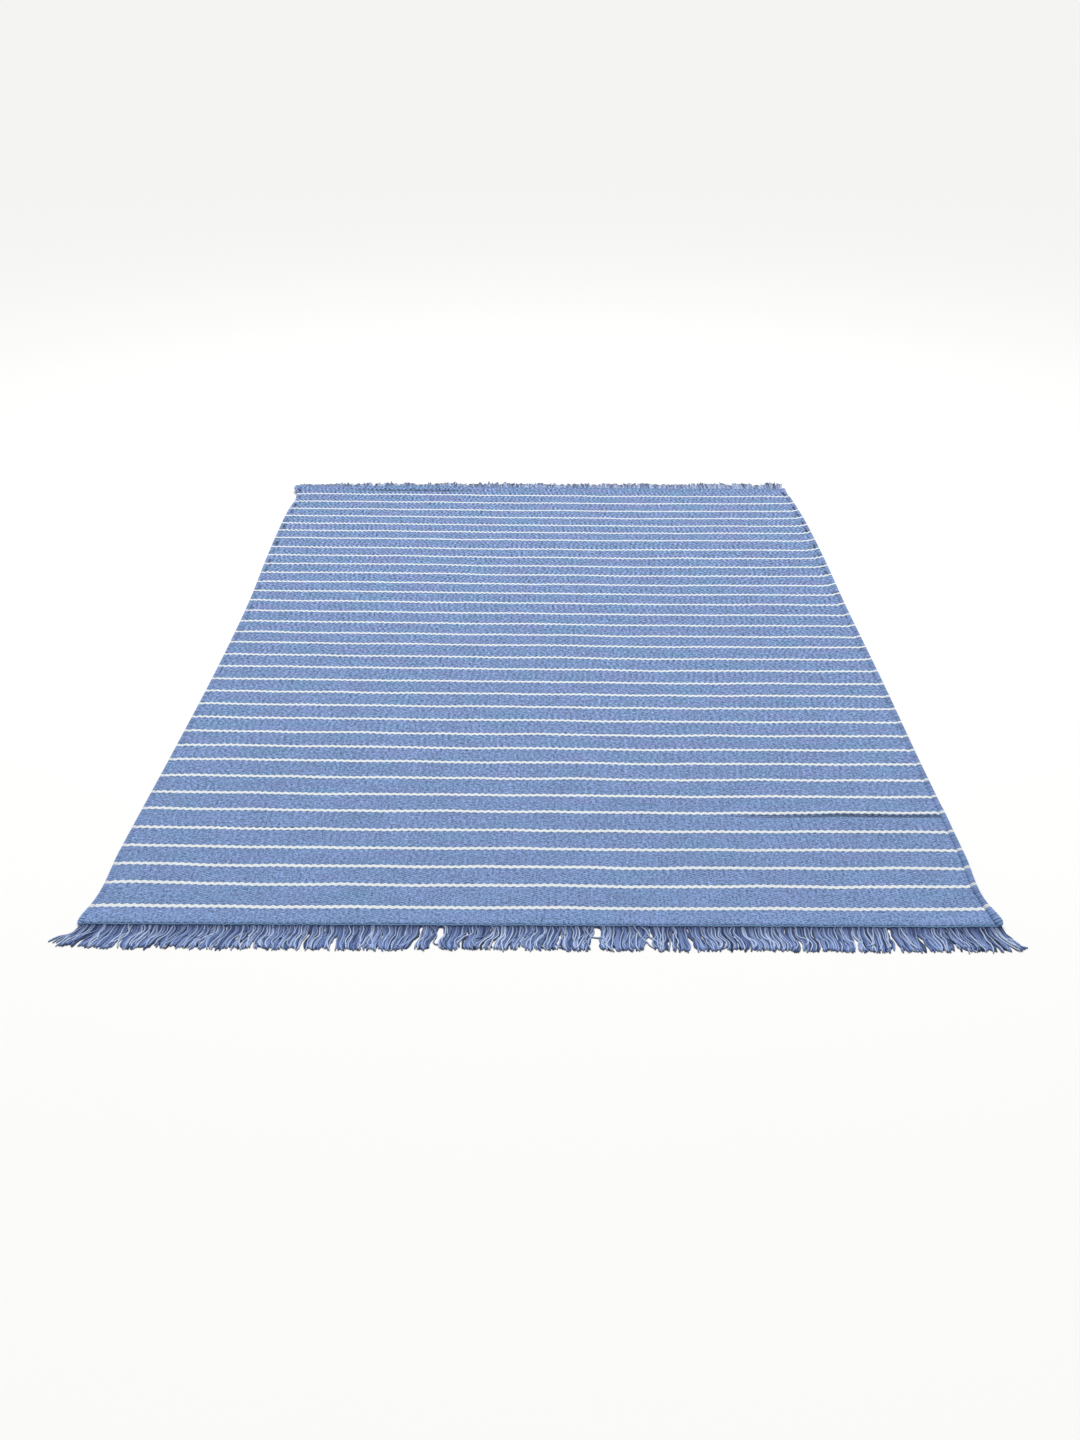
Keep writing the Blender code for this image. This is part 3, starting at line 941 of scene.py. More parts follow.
def field_sheet(cloth):
    """The cloth between its two selvedge cords, as a closed sheet.

    A point lies on its pick's line, as far across as its share of the width says. The underside is as high
    as the swells and cockles lift it. The top is a thickness above it, sinks into a groove beside each cord,
    and rounds down at the woven ends.
    """
    ends = WOVEN_END["inset"]
    along = np.concatenate([ends, body_rows(cloth, ends[-1]), (cloth.length - ends)[::-1]])
    left, right = (edge[:, None] for edge in side_edges(along))
    inset = GROOVE["inset"]
    share = np.linspace(0, 1, cloth.columns + 1)[1:-1]
    inner_left, inner_right = left + inset[-1], right - inset[-1]
    x = np.hstack([left + inset, inner_left + (inner_right - inner_left) * share, right - inset[::-1]])
    along = along[:, None] + np.zeros_like(x)

    def beside_cords(column, between):
        return np.concatenate([GROOVE[column], between + 0 * share, GROOVE[column][::-1]])

    from_end = np.minimum(along, cloth.length - along)
    end_top, end_under = (np.interp(from_end, ends, WOVEN_END[column]) for column in ("top", "underside"))
    cockle = waves(COCKLES, x, along) + COCKLES["height"].sum()
    clearance = floor_clearance(x, along) + cockle * np.clip(from_end / COCKLE_FADE, 0, 1)
    under = clearance + np.maximum(beside_cords("underside", 0), end_under)
    depth, in_trough = trough_depth(x, along)
    top = clearance + cloth.thickness * beside_cords("top", 1) * end_top - depth
    y = pick_y(x, along, cloth.length)
    mesh, flat_faces = closed_sheet(
        "rug_field", np.stack([x, y, under], axis=2), np.stack([x, y, top], axis=2)
    )
    # Painted shade in the grooves beside the cords, in blotches that grow towards the far end.
    groove_shade = np.clip(GROOVE_SHADE_BASE + waves(GROOVE_PAINTED_SHADE, x, along), 0, None)
    groove_shade = groove_shade * np.interp(along, *GROOVE_SHADE_GROWTH)
    openness = 1 + TROUGH_PAINTED_SHADE * in_trough + beside_cords("openness", 0) * groove_shade
    warps = x / cloth.warp_spacing
    weave_maps(mesh, cloth, *(np.tile(values.ravel(), 2) for values in (warps, along, openness)))
    add_map(mesh, "OFBake", bake_places(mesh, flat_faces))
    return mesh


def bake_places(mesh, flat_faces):
    """Where each corner lies on the texture: the underside on the right half, all the rest on the left."""
    corners = corner_points(mesh)
    face = corner_faces(mesh)[0]
    points = np.empty(len(mesh.vertices) * 3, np.float32)
    mesh.vertices.foreach_get("co", points)
    points = points.reshape(-1, 3)[:, :2]
    low, high = points.min(axis=0), points.max(axis=0)
    share = BAKE_MARGIN + (1 - 2 * BAKE_MARGIN) * (points[corners] - low) / (high - low)
    places = np.stack([share[:, 0] / 2, share[:, 1]], axis=1)
    places[face < flat_faces, 0] += 0.5
    return places


def selvedge_cord(name, cloth, side):
    """A bundle of warps wound by the weft, as a tube whose oval section swells at each turn of the weft.

    The swell is one, less a small depth times what a power of the turn's cosine, made positive, leaves of
    one. The turns slant a pick's width from the top to the underside, and the section's upper half leans
    outwards.
    """
    which = "left" if side < 0 else "right"
    row_step = 2 * cloth.pick_spacing / cloth.rows_per_turn
    along = np.linspace(CORD_INSET, cloth.length - CORD_INSET, round(cloth.length / row_step))
    height = getattr(cloth, which + "_cord_height")
    width_shape, height_shape = (
        smooth_line(CORD_SHAPE["along"], CORD_SHAPE[which + size], along) for size in ("_width", "_height")
    )
    half_width, half_height = cloth.cord_width / 2 * width_shape, height / 2 * height_shape
    x = side_edges(along)[0 if side < 0 else 1] - side * half_width
    ends = np.clip(np.minimum(along, cloth.length - along) / CORD_END_REACH, 0, 1)
    rounding = CORD_END_SIZE + (1 - CORD_END_SIZE) * np.sqrt(1 - (1 - ends) ** 2)
    z = floor_clearance(x, along) + half_height
    line = np.stack([x, pick_y(x, along, cloth.length), z], axis=1)
    angle = 2 * math.pi * np.arange(CORD_SIDES) / CORD_SIDES
    wound = along[:, None] + cloth.pick_spacing / 2 * np.sin(angle)
    picks = np.interp(wound, *pick_numbers(cloth))
    swell = 1 - cloth.turn_depth * (1 - np.abs(np.cos(math.pi * picks / 2)) ** CORD_SWELL_POWER)
    lean = side * getattr(cloth, which + "_cord_lean")
    section = np.cos(angle) + lean * np.clip(np.sin(angle), 0, None)
    sideways = (half_width * rounding)[:, None] * swell * section
    upwards = (half_height * rounding)[:, None] * swell * np.sin(angle)
    mesh = tubes(name, line[None], sideways[None], upwards[None])
    weave_maps(mesh, cloth, np.zeros(picks.size), wound.ravel(), cloth.cord_openness)
    return mesh


def end_picks(name, cloth, yarn, far):
    """The outermost picks of one woven end, as round yarns that pass over one warp and under the next.

    A pick's height is the cloth's middle plus a cosine with a period of two warps, and its neighbour's is the
    same with the sign changed.
    """
    x = np.arange(-END_PICK_REACH, END_PICK_REACH + 0.0005, 2 * cloth.warp_spacing / END_PICK_RINGS)
    lines = []
    for row, (inset, sign) in enumerate(((0.0009, -1), (0.0040, 1))):
        along = cloth.length - inset if far else inset
        left, right = (edge[0] for edge in side_edges(np.array([along])))
        places = np.clip(x, left + END_PICK_MARGIN, right - END_PICK_MARGIN)
        wave = sign * np.cos(math.pi * places / cloth.warp_spacing)
        sway = 0.0004 * np.sin(2 * math.pi * places / 0.083 + row) + 0.0003 * wave
        y = pick_y(places, along, cloth.length) + (sway if far else -sway)
        z = floor_clearance(places, along) + cloth.thickness * END_PICK_HEIGHT + 0.0007 * wave
        keep = (x > left + END_PICK_MARGIN) & (x < right - END_PICK_MARGIN)
        lines.append(np.stack([places, y, z], axis=1)[keep])
    shortest = min(len(line) for line in lines)
    lines = np.stack([line[:shortest] for line in lines])
    half = np.full(lines.shape[:2], yarn.pick_thickness / 2)
    mesh = tubes(name, lines, *oval(half * 1.05, half * 0.95, END_PICK_SIDES))
    yarn_maps(mesh, lines, END_PICK_SIDES, np.array([0.7, 0.5]), 0.45)
    return mesh


def tip_moves(roots, lean, partings, random, yarn):
    """How far each tip lies sideways of its root: the fringe's lean, pushed away from each parting, drawn
    towards the middle of its lock, and a little at random. Then how far each yarn moves aside just outside
    the cloth, and the number of its lock."""
    sideways = smooth_line(lean["across"], lean["sideways"], roots)
    openings = np.zeros(len(roots))
    for across, width, root_width in zip(*partings.values()):
        offset = roots - across
        tip_near = np.clip(1 - np.abs(offset) / PARTING_REACH, 0, None)
        root_near = np.clip(1 - np.abs(offset) / (PARTING_REACH / 2), 0, None)
        sideways = sideways + width / 2 * np.sign(offset) * tip_near**2
        openings = openings + root_width / 2 * np.sign(offset) * root_near
    lock = np.searchsorted(lock_limits(partings, random), roots)
    counts = np.bincount(lock)
    middles = np.bincount(lock, roots) / np.maximum(counts, 1)
    gather = random.uniform(0.0, 0.12, len(counts))
    swing = random.normal(0, 0.0016, len(counts))
    sideways = sideways + (middles[lock] - roots) * gather[lock] + swing[lock]
    return sideways + random.normal(0, yarn.scatter, len(roots)), openings, lock


def lock_limits(partings, random):
    """Places where one lock ends and the next begins: the partings, and more between them."""
    places = list(partings["across"])
    stations = np.concatenate([[-0.70], partings["across"], [0.70]])
    for low, high in zip(stations[:-1], stations[1:]):
        count = int((high - low) / LOCK_WIDTH)
        if count > 1:
            inner = np.linspace(low, high, count + 1)[1:-1]
            places.extend(inner + random.uniform(-0.004, 0.004, count - 1))
    return np.sort(places)


def free_lines(roots, side_moves, openings, curves, lengths, layers, locks, along, turn, cloth, yarn, random):
    """Each yarn's line before it settles, [yarn, point, xyz], in the fringe's own frame.

    The line leaves the cloth over or under its last pick, then runs away from it. Its distance sideways is
    the tip's move times a power of the share of the length, plus one slow S, a fine crimp and a hook at the
    tip. The distance outwards is what then keeps the yarn's length. Over the first quarter the line sinks
    from the cloth's middle to its own layer.
    """
    share = np.linspace(0, 1, yarn.points)[None, :]
    number = len(roots)
    bend = curves[:, None] * yarn.bend * np.sin(2 * math.pi * share) * share**0.4
    lock_phase = random.uniform(0, 2 * math.pi, locks.max() + 1)
    lock_hook = random.normal(0, 0.0022, locks.max() + 1)
    phase = lock_phase[locks][:, None] + random.normal(0, 0.7, (number, 1))
    turns = random.uniform(1.5, 2.5, (number, 1))
    size = random.uniform(0.35, 1.0, (number, 1)) * yarn.crimp
    crimp = size * (np.sin(2 * math.pi * turns * share + phase) - np.sin(phase))
    hook = lock_hook[locks][:, None] + random.normal(0, 0.0012, (number, 1))
    hook = hook * (np.clip(share - HOOK_START, 0, None) / (1 - HOOK_START)) ** 2
    sideways = side_moves[:, None] * share**1.5 + bend + crimp + hook
    sideways = sideways + openings[:, None] * (1 - np.exp(-share / 0.07))
    each = lengths[:, None] / (yarn.points - 1)
    outwards = np.sqrt(np.clip(each**2 - np.diff(sideways, axis=1) ** 2, (0.25 * each) ** 2, None))
    outwards = np.concatenate([np.zeros((number, 1)), np.cumsum(outwards, axis=1)], axis=1)

    start = cloth.thickness * np.where(layers >= 1, 0.46, 0.27)[:, None]
    rest = yarn.thickness / 2 + layers[:, None] * yarn.thickness * 0.85
    drop = np.clip(share / 0.25, 0, 1)
    z = start + (rest - start) * (3 * drop**2 - 2 * drop**3)
    clearance = floor_clearance(turn * roots, along)[:, None]
    z = z + clearance * np.clip(1 - share / 0.5, 0, 1) ** 2
    y = -PICK_SLOPE * roots[:, None]
    lines = np.stack([roots[:, None] + sideways, y - outwards, z], axis=2)
    inside = np.zeros((number, len(INSIDE_CLOTH), 3))
    inside[:, :, 0] = roots[:, None]
    inside[:, :, 1] = y + np.array(INSIDE_CLOTH)
    inside[:, 0, 2] = cloth.thickness * 0.5
    inside[:, 1, 2] = start[:, 0]
    inside[:, :, 2] += clearance
    return np.concatenate([inside, lines], axis=1)


def settle(lines, yarn, held, rounds):
    """Lets the yarns sink until they lie on the floor and on each other.

    In each round every free point falls a little. Then, for each pair of near points on different yarns that
    are closer than a yarn's thickness, each is pushed away by half of what is missing, mostly upwards or
    downwards. The change is evened out along the yarn, so that it keeps its waves.
    """
    start = lines.copy()
    thickness = yarn.thickness * TOUCH
    count = lines.shape[1]
    for _ in range(rounds):
        lines[:, held:, 2] -= yarn.thickness * FALL
        push = np.zeros_like(lines)
        touches = np.zeros(lines.shape[:2])
        for shift in range(1, yarn.neighbours + 1):
            for slip in range(-REACH_ALONG, REACH_ALONG + 1):
                first = slice(max(0, -slip), count - max(0, slip))
                second = slice(max(0, slip), count + min(0, slip))
                apart = lines[shift:, second] - lines[:-shift, first]
                distance = np.sqrt((apart**2).sum(axis=2)) + 1e-9
                missing = np.clip(thickness - distance, 0, None)
                move = apart * (missing / distance / 2)[..., None]
                push[shift:, second] += move
                push[:-shift, first] -= move
                close = missing > 0
                touches[shift:, second] += close
                touches[:-shift, first] += close
        push /= np.maximum(touches, 1)[..., None]
        push[:, :, :2] *= PUSH_SIDEWAYS
        push[:, :, 2] *= PUSH_UPWARDS
        lines[:, held:] += push[:, held:]
        change = lines - start
        even = change.copy()
        even[:, 1:-1] = 0.5 * change[:, 1:-1] + 0.25 * (change[:, :-2] + change[:, 2:])
        even[:, -1] = 0.5 * change[:, -1] + 0.5 * change[:, -2]
        even[:, :held] = 0
        lines = start + even
        lines[:, held:, 2] = np.maximum(lines[:, held:, 2], yarn.thickness / 2 * FLOOR_TOUCH)
    return lines


def fringe(name, cloth, yarn, far):
    """The warp ends beyond one woven end: lower yarns for each warp and upper ones that gather in pairs of
    warps, laid out, settled, and made into tubes."""
    turn = -1 if far else 1
    lean, partings, strays = (
        (FAR_LEAN, FAR_PARTINGS, FAR_STRAYS) if far else (NEAR_LEAN, NEAR_PARTINGS, NEAR_STRAYS)
    )
    random = np.random.default_rng(FAR_SEED if far else NEAR_SEED)
    along = cloth.length if far else 0.0
    left, right = (edge[0] for edge in side_edges(np.array([along])))
    ends = (-right, -left) if far else (left, right)
    first = math.ceil((ends[0] + 0.004) / cloth.warp_spacing)
    last = math.floor((ends[1] - 0.004) / cloth.warp_spacing)
    warps = np.arange(first, last + 1) * cloth.warp_spacing
    spread = (np.arange(yarn.per_warp) + 0.5) / yarn.per_warp - 0.5
    bed = (warps[:, None] + spread[None, :] * cloth.warp_spacing).ravel()
    bed = bed + random.normal(0, 0.00025, len(bed))
    count = round((warps[-1] - warps[0]) / yarn.top_spacing)
    top = np.linspace(warps[0], warps[-1], count) + random.normal(0, 0.0004, count)
    pair = 2 * cloth.warp_spacing
    clump = pair * np.round((top - turn * cloth.warp_spacing) / pair) + turn * cloth.warp_spacing
    gathered = np.concatenate([0 * bed, yarn.root_gather * (clump - top)])
    roots = np.concatenate([bed, top])
    layers = np.concatenate([random.integers(0, 2, len(bed)) * 0.6, random.uniform(1.0, 1.8, count)])
    order = np.argsort(roots)
    roots, layers, gathered = roots[order], layers[order], gathered[order]
    number = len(roots)
    moves, openings, lock = tip_moves(roots, lean, partings, random, yarn)
    roots, openings = roots + gathered, openings - gathered
    curves = smooth_line(lean["across"], lean["curve"], roots) + random.normal(0, 0.35, number)
    usual = yarn.far_length if far else yarn.near_length
    lengths = usual + random.uniform(-1, 0.35, number) * yarn.length_spread
    # The far fringe ends raggedly, but at the far left corner it is shorter, more even and paler.
    if far:
        corner = np.clip((roots - 0.54) / 0.06, 0, 1)
        uneven = 0.4 + 0.6 * np.clip((0.60 - roots) / 0.05, 0, 1)
        lengths = lengths + uneven * random.normal(0, 0.0058, number)
        lengths = lengths + uneven * random.normal(0, 0.004, lock.max() + 1)[lock]
        lengths = lengths - 0.006 * corner

    crossing = random.random(number) < CROSSING_SHARE
    crossed = moves + random.choice([-1, 1], number) * random.uniform(0.004, 0.013, number)
    moves = np.where(crossing, crossed, moves)
    layers = np.where(crossing, 3.0, layers)
    for across, sideways, curve in zip(*strays.values()):
        nearest = np.abs(roots - across).argmin()
        moves[nearest], curves[nearest] = sideways, curve
        layers[nearest], lengths[nearest] = 4.0, usual
    limit = lengths * MOST_LEAN
    moves = np.clip(moves, -limit, limit)

    lines = free_lines(
        roots, moves, openings, curves, lengths, layers, lock, along, turn, cloth, yarn, random
    )
    rounds = yarn.settle_rounds
    lines = settle(lines, yarn, 4, rounds)[:, ::2]
    lines[:, :, :2] *= turn
    lines[:, :, 1] -= turn * cloth.length / 2
    radius = yarn.thickness / 2 * random.uniform(0.9, 1.08, (number, 1)) * np.ones(lines.shape[1])
    radius[:, -1] *= TIP_SIZE
    lower = layers < 1
    wide, thick = np.where(lower, 1.30, 1.04)[:, None], np.where(lower, 0.88, 0.97)[:, None]
    mesh = tubes(name, lines, *oval(radius * wide, radius * thick, YARN_SIDES))
    # The lower yarns get low tones as painted shade under the upper ones; in the near fringe they are darkest
    # between the clumps of upper yarns.
    low, high, gap_shade = (-0.2, 1.0, 0.0) if far else (-0.05, 0.42, 0.42)
    between = 0.5 - 0.5 * np.cos(2 * math.pi * (roots - turn * cloth.warp_spacing) / pair)
    lower_tones = random.uniform(low, high, number) - gap_shade * between
    tones = np.where(lower, lower_tones, random.uniform(0.20, 1.1, number))
    if far:
        tones = tones + 0.12 * (0.9 - tones) * corner
    # The far fringe's share starts at 0.45, so it takes only a little of the painted shade at the root.
    yarn_maps(mesh, lines, YARN_SIDES, tones, 0.45 if far else 0.0)
    return mesh


def length_setting(name, description, default, least):
    """A length that the user can change, in metres."""
    return FloatProperty(name=name, description=description, default=default, min=least, unit="LENGTH")


def share_setting(name, description, default, most=1.0):
    """A share from nothing to this much."""
    return FloatProperty(
        name=name, description=description, default=default, min=0.0, max=most, subtype="FACTOR"
    )


def count_setting(name, description, default, least):
    """A whole number."""
    return IntProperty(name=name, description=description, default=default, min=least)


def colour_setting(name, description, default):
    """A linear colour."""
    return FloatVectorProperty(
        name=name, description=description, default=default, min=0.0, max=1.0, subtype="COLOR"
    )


class ClothSettings(bpy.types.PropertyGroup):
    length: length_setting("Cloth length", "From the first pick to the last", 2.000, 0.5)
    width: length_setting("Cloth width", "Across both selvedges, lying flat", 1.400, 0.3)
    thickness: length_setting("Cloth thickness", "From the underside to the tops of the grains", 0.005, 0.001)
    warp_spacing: length_setting("Warp spacing", "From one warp to the next", 0.006, 0.001)
    pick_spacing: length_setting("Pick spacing", "From one blue pick of the weft to the next", 0.0026, 0.0005)
    stripe_width: length_setting("Stripe width", "Width of a pale stripe", 0.0069, 0.001)
    pick_wave: share_setting(
        "Pick wave", "How far a pick waves round the warps, as a share of its width", 0.08, 0.5
    )
    stripe_picks: count_setting("Picks in a stripe", "Pale picks woven together as one stripe", 4, 1)
    grain_relief: length_setting("Grain relief", "How far the weave's grains stand out", 0.0011, 0.0)
    grain_tone: share_setting("Grain tone", "How much the tone changes from grain to grain", 0.16)
    coarse_grain: share_setting("Coarse grain", "How much the tone changes over a few picks", 0.60)
    # The painted shade between two grains.
    dip_depth: share_setting("Dip shade", "How dark the dye looks between two grains", 0.95)
    cord_width: length_setting("Cord width", "Width of the cord along each selvedge", 0.0095, 0.002)
    left_cord_height: length_setting("Left cord height", "Height of the left cord", 0.0071, 0.002)
    right_cord_height: length_setting("Right cord height", "Height of the right cord", 0.0100, 0.002)
    left_cord_lean: share_setting("Left cord lean", "How far the left cord's top leans outwards", 0.20, 0.6)
    right_cord_lean: share_setting(
        "Right cord lean", "How far the right cord's top leans outwards", 0.42, 0.6
    )
    turn_depth: share_setting("Turn depth", "How far a cord narrows between two turns of the weft", 0.16, 0.5)
    # The strength of the painted shade between the weft's turns round a cord.
    cord_openness: share_setting(
        "Cord openness", "Depth of the gaps between the weft's turns round a cord", 0.15
    )
    rows_per_turn: count_setting("Rows per turn", "Rows of points for each turn of the weft", 6, 4)
    row_spacing: length_setting("Row spacing", "From one row of the field's points to the next", 0.008, 0.002)
    columns: count_setting("Columns", "Columns of faces between the grooves", 112, 20)


class YarnSettings(bpy.types.PropertyGroup):
    thickness: length_setting("Yarn thickness", "Thickness of a fringe yarn", 0.0026, 0.0005)
    pick_thickness: length_setting("Weft thickness", "Thickness of the outermost picks", 0.0032, 0.0005)
    root_gather: share_setting(
        "Root gather", "How far the upper yarns draw together in pairs of warps at the cloth", 0.55
    )
    per_warp: count_setting("Lower yarns per warp", "Yarn ends of each warp that lie on the floor", 2, 1)
    top_spacing: length_setting(
        "Upper yarn spacing", "Usual spacing of the yarn ends that lie on top", 0.0050, 0.001
    )
    near_length: length_setting("Near length", "Length of the longest near yarns", 0.058, 0.01)
    far_length: length_setting("Far length", "Length of the longest far yarns", 0.049, 0.01)
    length_spread: length_setting("Length spread", "How much shorter the short yarns are", 0.005, 0.0)
    bend: length_setting("Bend", "How far the slow S of a yarn swings out", 0.0034, 0.0)
    crimp: length_setting("Crimp", "How far the fine waves of a yarn swing out", 0.0013, 0.0)
    scatter: length_setting("Scatter", "How far the tips stray at random", 0.0028, 0.0)
    plies: count_setting("Plies", "Strands twisted into a yarn", 2, 2)
    twist_length: length_setting("Twist length", "Length of one whole turn of the twist", 0.009, 0.002)
    points: count_setting("Points", "Points along a yarn while it settles", 21, 9)
    neighbours: count_setting("Neighbours", "Yarns to each side that a yarn may touch", 12, 2)
    settle_rounds: count_setting("Settling rounds", "Rounds in which the yarns come to rest", 60, 1)


class ColourSettings(bpy.types.PropertyGroup):
    blue: colour_setting("Blue", "The weft's usual blue", (0.186, 0.328, 0.566))
    violet_blue: colour_setting(
        "Violet blue", "The blue where the dye took more violet", (0.232, 0.304, 0.586)
    )
    pale: colour_setting("Pale", "The stripes' undyed weft", (0.82, 0.87, 0.89))
    # The deep fringe blue also colours the painted shade of the lower yarns, and the light fringe blue's grey
    # is a painted highlight that stands in for sheen on the upper yarns.
    deep_fringe: colour_setting(
        "Deep fringe blue", "Blue of the fringe's darkest yarns", (0.188, 0.325, 0.790)
    )
    light_fringe: colour_setting(
        "Light fringe blue", "Blue of the fringe's lightest yarns", (0.465, 0.560, 0.745)
    )
    # The dark blue painted at the fringe's roots as shade under the cloth's edge.
    sheltered_fringe: colour_setting(
        "Sheltered fringe blue", "Blue of the fringe in the shelter of the cloth", (0.014, 0.031, 0.120)
    )
    floor: colour_setting("Floor", "The studio floor", (0.905, 0.905, 0.890))


class StageSettings(bpy.types.PropertyGroup):
    camera_height: FloatProperty(
        name="Camera height", description="Height of the camera above the floor", default=1.2446,
        unit="LENGTH",
    )
    camera_distance: FloatProperty(
        name="Camera distance", description="From the camera to the near end, along the floor",
        default=1.5937, unit="LENGTH",
    )
    camera_tilt: FloatProperty(
        name="Camera tilt", description="How far below the horizon the camera looks",
        default=math.radians(29.025), subtype="ANGLE",
    )
    camera_turn: FloatProperty(
        name="Camera turn", description="How far left of straight ahead the camera looks",
        default=math.radians(0.03), subtype="ANGLE",
    )
    lens: FloatProperty(name="Lens", description="Focal length", default=32.885, unit="CAMERA")
    sky: FloatProperty(
        name="Room light", description="Brightness of the even light from all round", default=0.300, min=0.0
    )
    sun: FloatProperty(
        name="Key light", description="Strength of the soft light from above", default=2.50, min=0.0
    )
    far_light: FloatProperty(
        name="Far light", description="Power of the wide soft light over the far half", default=18.0, min=0.0
    )
    floor_reach: length_setting("Floor reach", "Radius of the floor", 300.0, 5.0)


class RUG_OT_lay_fringes(bpy.types.Operator):
    """Lays out the warp ends beyond both woven ends"""

    bl_idname = "rug.lay_fringes"
    bl_label = "Lay fringes"

    def execute(self, context):
        cloth, yarn, colours = context.scene.rug_cloth, context.scene.rug_yarn, context.scene.rug_colours
        # The near tips are paler; the far tips are darker with painted shade.
        for end, far, tip in (("near", False, 0.70), ("far", True, -0.80)):
            material = twisted_cotton(
                f"fringe_cotton_{end}", colours.deep_fringe, colours.light_fringe, colours, yarn, tip
            )
            mesh = fringe(f"fringe_{end}_yarns", cloth, yarn, far)
            add_piece(f"fringe_{end}_yarns", mesh, material, (f"fringe_{end}",))
        return {"FINISHED"}


class RUG_OT_lay_end_picks(bpy.types.Operator):
    """Adds the outermost picks of both woven ends as yarns of their own"""

    bl_idname = "rug.lay_end_picks"
    bl_label = "Lay end picks"

    def execute(self, context):
        cloth, yarn, colours = context.scene.rug_cloth, context.scene.rug_yarn, context.scene.rug_colours
        material = twisted_cotton("weft_cotton", colours.blue, colours.blue, colours, yarn)
        for far, name in ((False, "end_picks_near"), (True, "end_picks_far")):
            add_piece(name, end_picks(name, cloth, yarn, far), material)
        return {"FINISHED"}


class RUG_OT_wind_selvedges(bpy.types.Operator):
    """Winds the weft round the cord along each side"""

    bl_idname = "rug.wind_selvedges"
    bl_label = "Wind selvedges"

    def execute(self, context):
        cloth, colours = context.scene.rug_cloth, context.scene.rug_colours
        material = woven_cotton(cloth, colours)
        for name, side in (("selvedge_left", -1), ("selvedge_right", 1)):
            add_piece(name, selvedge_cord(name, cloth, side), material)
        return {"FINISHED"}


class RUG_OT_weave_field(bpy.types.Operator):
    bl_idname = "rug.weave_field"
    bl_label = "Weave field"

    def execute(self, context):
        cloth, colours = context.scene.rug_cloth, context.scene.rug_colours
        material = woven_cotton(cloth, colours)
        field = add_piece("rug_field", field_sheet(cloth), material, ("woven_field",))
        return {"FINISHED"}


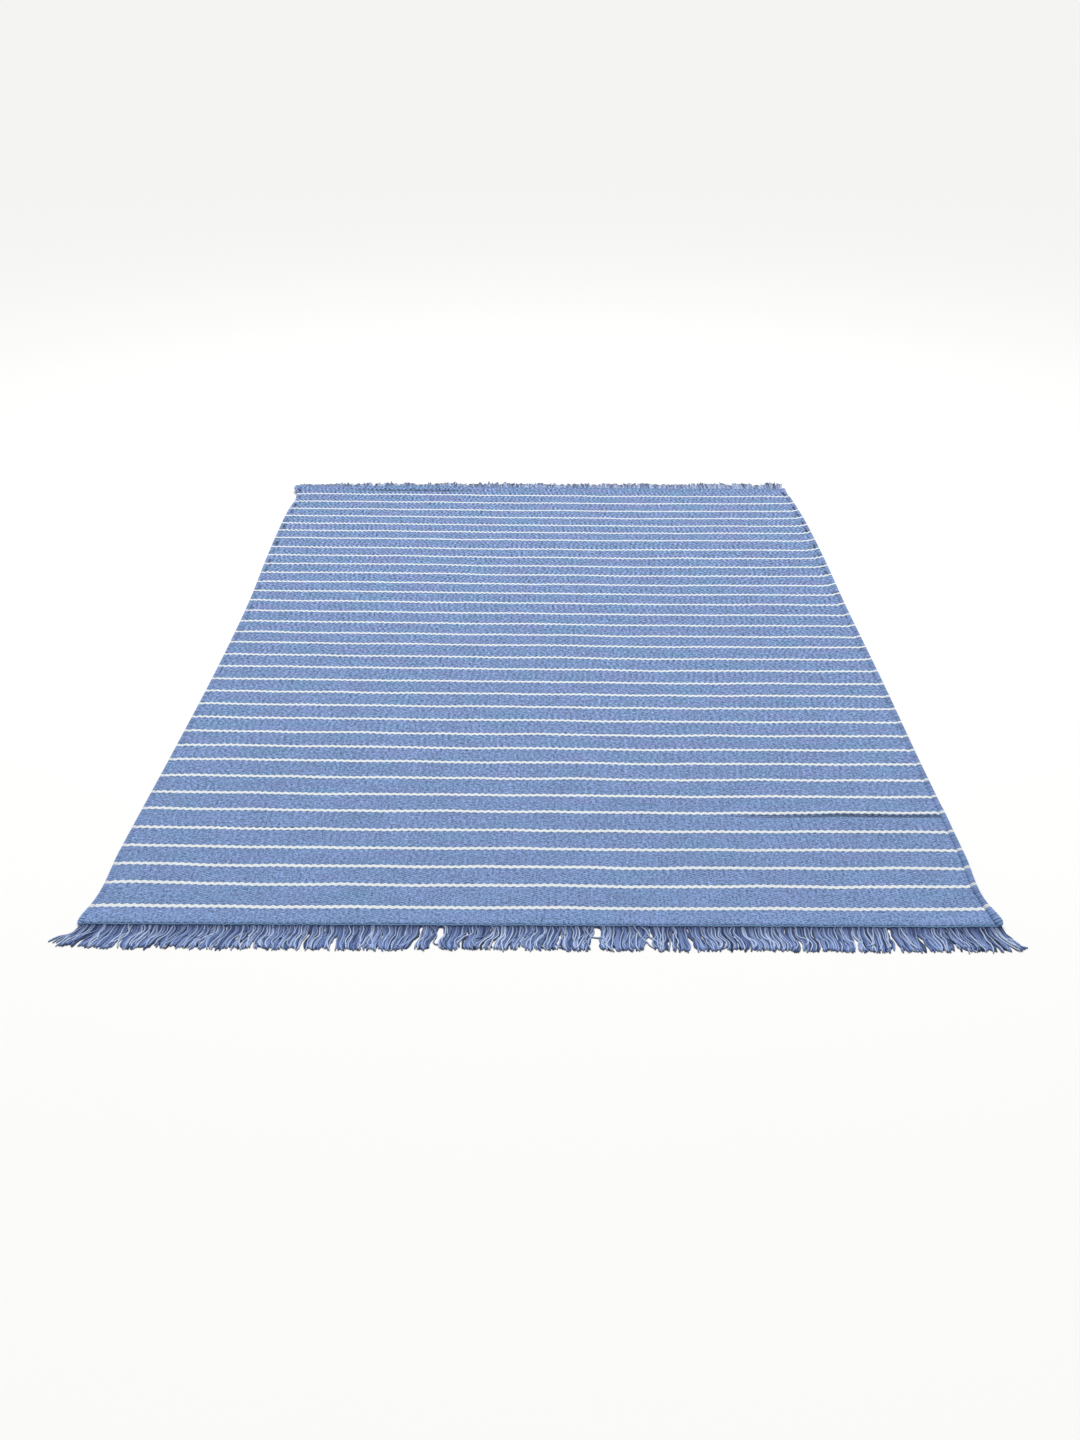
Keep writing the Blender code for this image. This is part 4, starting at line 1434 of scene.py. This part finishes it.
class RUG_OT_set_stage(bpy.types.Operator):
    """Sets the floor, the light and the camera"""

    bl_idname = "rug.set_stage"
    bl_label = "Set stage"

    def execute(self, context):
        scene = context.scene
        stage, colours, cloth = scene.rug_stage, scene.rug_colours, scene.rug_cloth
        rings = np.array([*FLOOR_RINGS, stage.floor_reach])
        sides = FLOOR_SIDES
        angle = 2 * math.pi * np.arange(sides) / sides
        circle = np.stack([np.cos(angle), np.sin(angle), 0 * angle], axis=1)
        points = np.concatenate([[[0.0, 0.0, 0.0]], (rings[1:, None, None] * circle).reshape(-1, 3)])
        index = 1 + np.arange((len(rings) - 1) * sides).reshape(len(rings) - 1, sides)
        turned = np.roll(index, -1, axis=1)
        outer = np.stack([index[:-1], index[1:], turned[1:], turned[:-1]], axis=2).reshape(-1, 4)
        inner = np.stack([np.zeros(sides, int), index[0], turned[0]], axis=1)
        floor = bpy.data.objects.new("floor", new_mesh("floor", points, [outer, inner], smooth=False))
        floor.data.materials.append(floor_paint(colours))
        scene.collection.objects.link(floor)

        world = bpy.data.worlds.new("room_light")
        world.use_nodes = True
        world.node_tree.nodes["Background"].inputs["Color"].default_value = (1.0, 1.0, 1.0, 1.0)
        world.node_tree.nodes["Background"].inputs["Strength"].default_value = stage.sky
        scene.world = world

        lamp = bpy.data.lights.new("key_light", "SUN")
        lamp.energy = stage.sun
        lamp.angle = math.radians(45)
        key = bpy.data.objects.new("key_light", lamp)
        key.rotation_euler = (math.radians(-28), 0.0, 0.0)
        scene.collection.objects.link(key)

        lamp = bpy.data.lights.new("far_light", "AREA")
        lamp.shape = "RECTANGLE"
        lamp.size, lamp.size_y = 2.5, 2.0
        lamp.energy = stage.far_light
        far_light = bpy.data.objects.new("far_light", lamp)
        far_light.location = (0.0, 1.1, 2.5)
        scene.collection.objects.link(far_light)

        camera = bpy.data.objects.new("camera", bpy.data.cameras.new("camera"))
        camera.data.lens = stage.lens
        camera.data.clip_end = 2 * stage.floor_reach
        camera.location = (0.0, -cloth.length / 2 - stage.camera_distance, stage.camera_height)
        camera.rotation_euler = (math.pi / 2 - stage.camera_tilt, 0.0, stage.camera_turn)
        scene.collection.objects.link(camera)
        scene.camera = camera
        scene.view_settings.view_transform = "Standard"
        return {"FINISHED"}


class RUG_PT_rug(bpy.types.Panel):
    """Sizes, colours and steps of the rug"""

    bl_label = "Rug"
    bl_idname = "RUG_PT_rug"
    bl_space_type = "VIEW_3D"
    bl_region_type = "UI"
    bl_category = "Rug"

    def draw(self, context):
        layout = self.layout
        scene = context.scene
        for name in SETTINGS:
            settings = getattr(scene, name)
            box = layout.box()
            box.label(text=name.removeprefix("rug_").capitalize())
            for setting in type(settings).__annotations__:
                box.prop(settings, setting)
        for operator in OPERATORS:
            layout.operator(operator.bl_idname)


SETTINGS = {
    "rug_cloth": ClothSettings,
    "rug_yarn": YarnSettings,
    "rug_colours": ColourSettings,
    "rug_stage": StageSettings,
}
OPERATORS = (
    RUG_OT_lay_fringes,
    RUG_OT_lay_end_picks,
    RUG_OT_wind_selvedges,
    RUG_OT_weave_field,
    RUG_OT_set_stage,
)


def register():
    for kind in (*SETTINGS.values(), *OPERATORS, RUG_PT_rug):
        bpy.utils.register_class(kind)
    for name, kind in SETTINGS.items():
        setattr(bpy.types.Scene, name, PointerProperty(type=kind))


def unregister():
    for name in SETTINGS:
        delattr(bpy.types.Scene, name)
    for kind in reversed((*SETTINGS.values(), *OPERATORS, RUG_PT_rug)):
        bpy.utils.unregister_class(kind)


def main():
    register()
    bpy.ops.rug.lay_fringes()
    bpy.ops.rug.lay_end_picks()
    bpy.ops.rug.wind_selvedges()
    bpy.ops.rug.weave_field()
    bpy.ops.rug.set_stage()


if __name__ == "__main__":
    main()
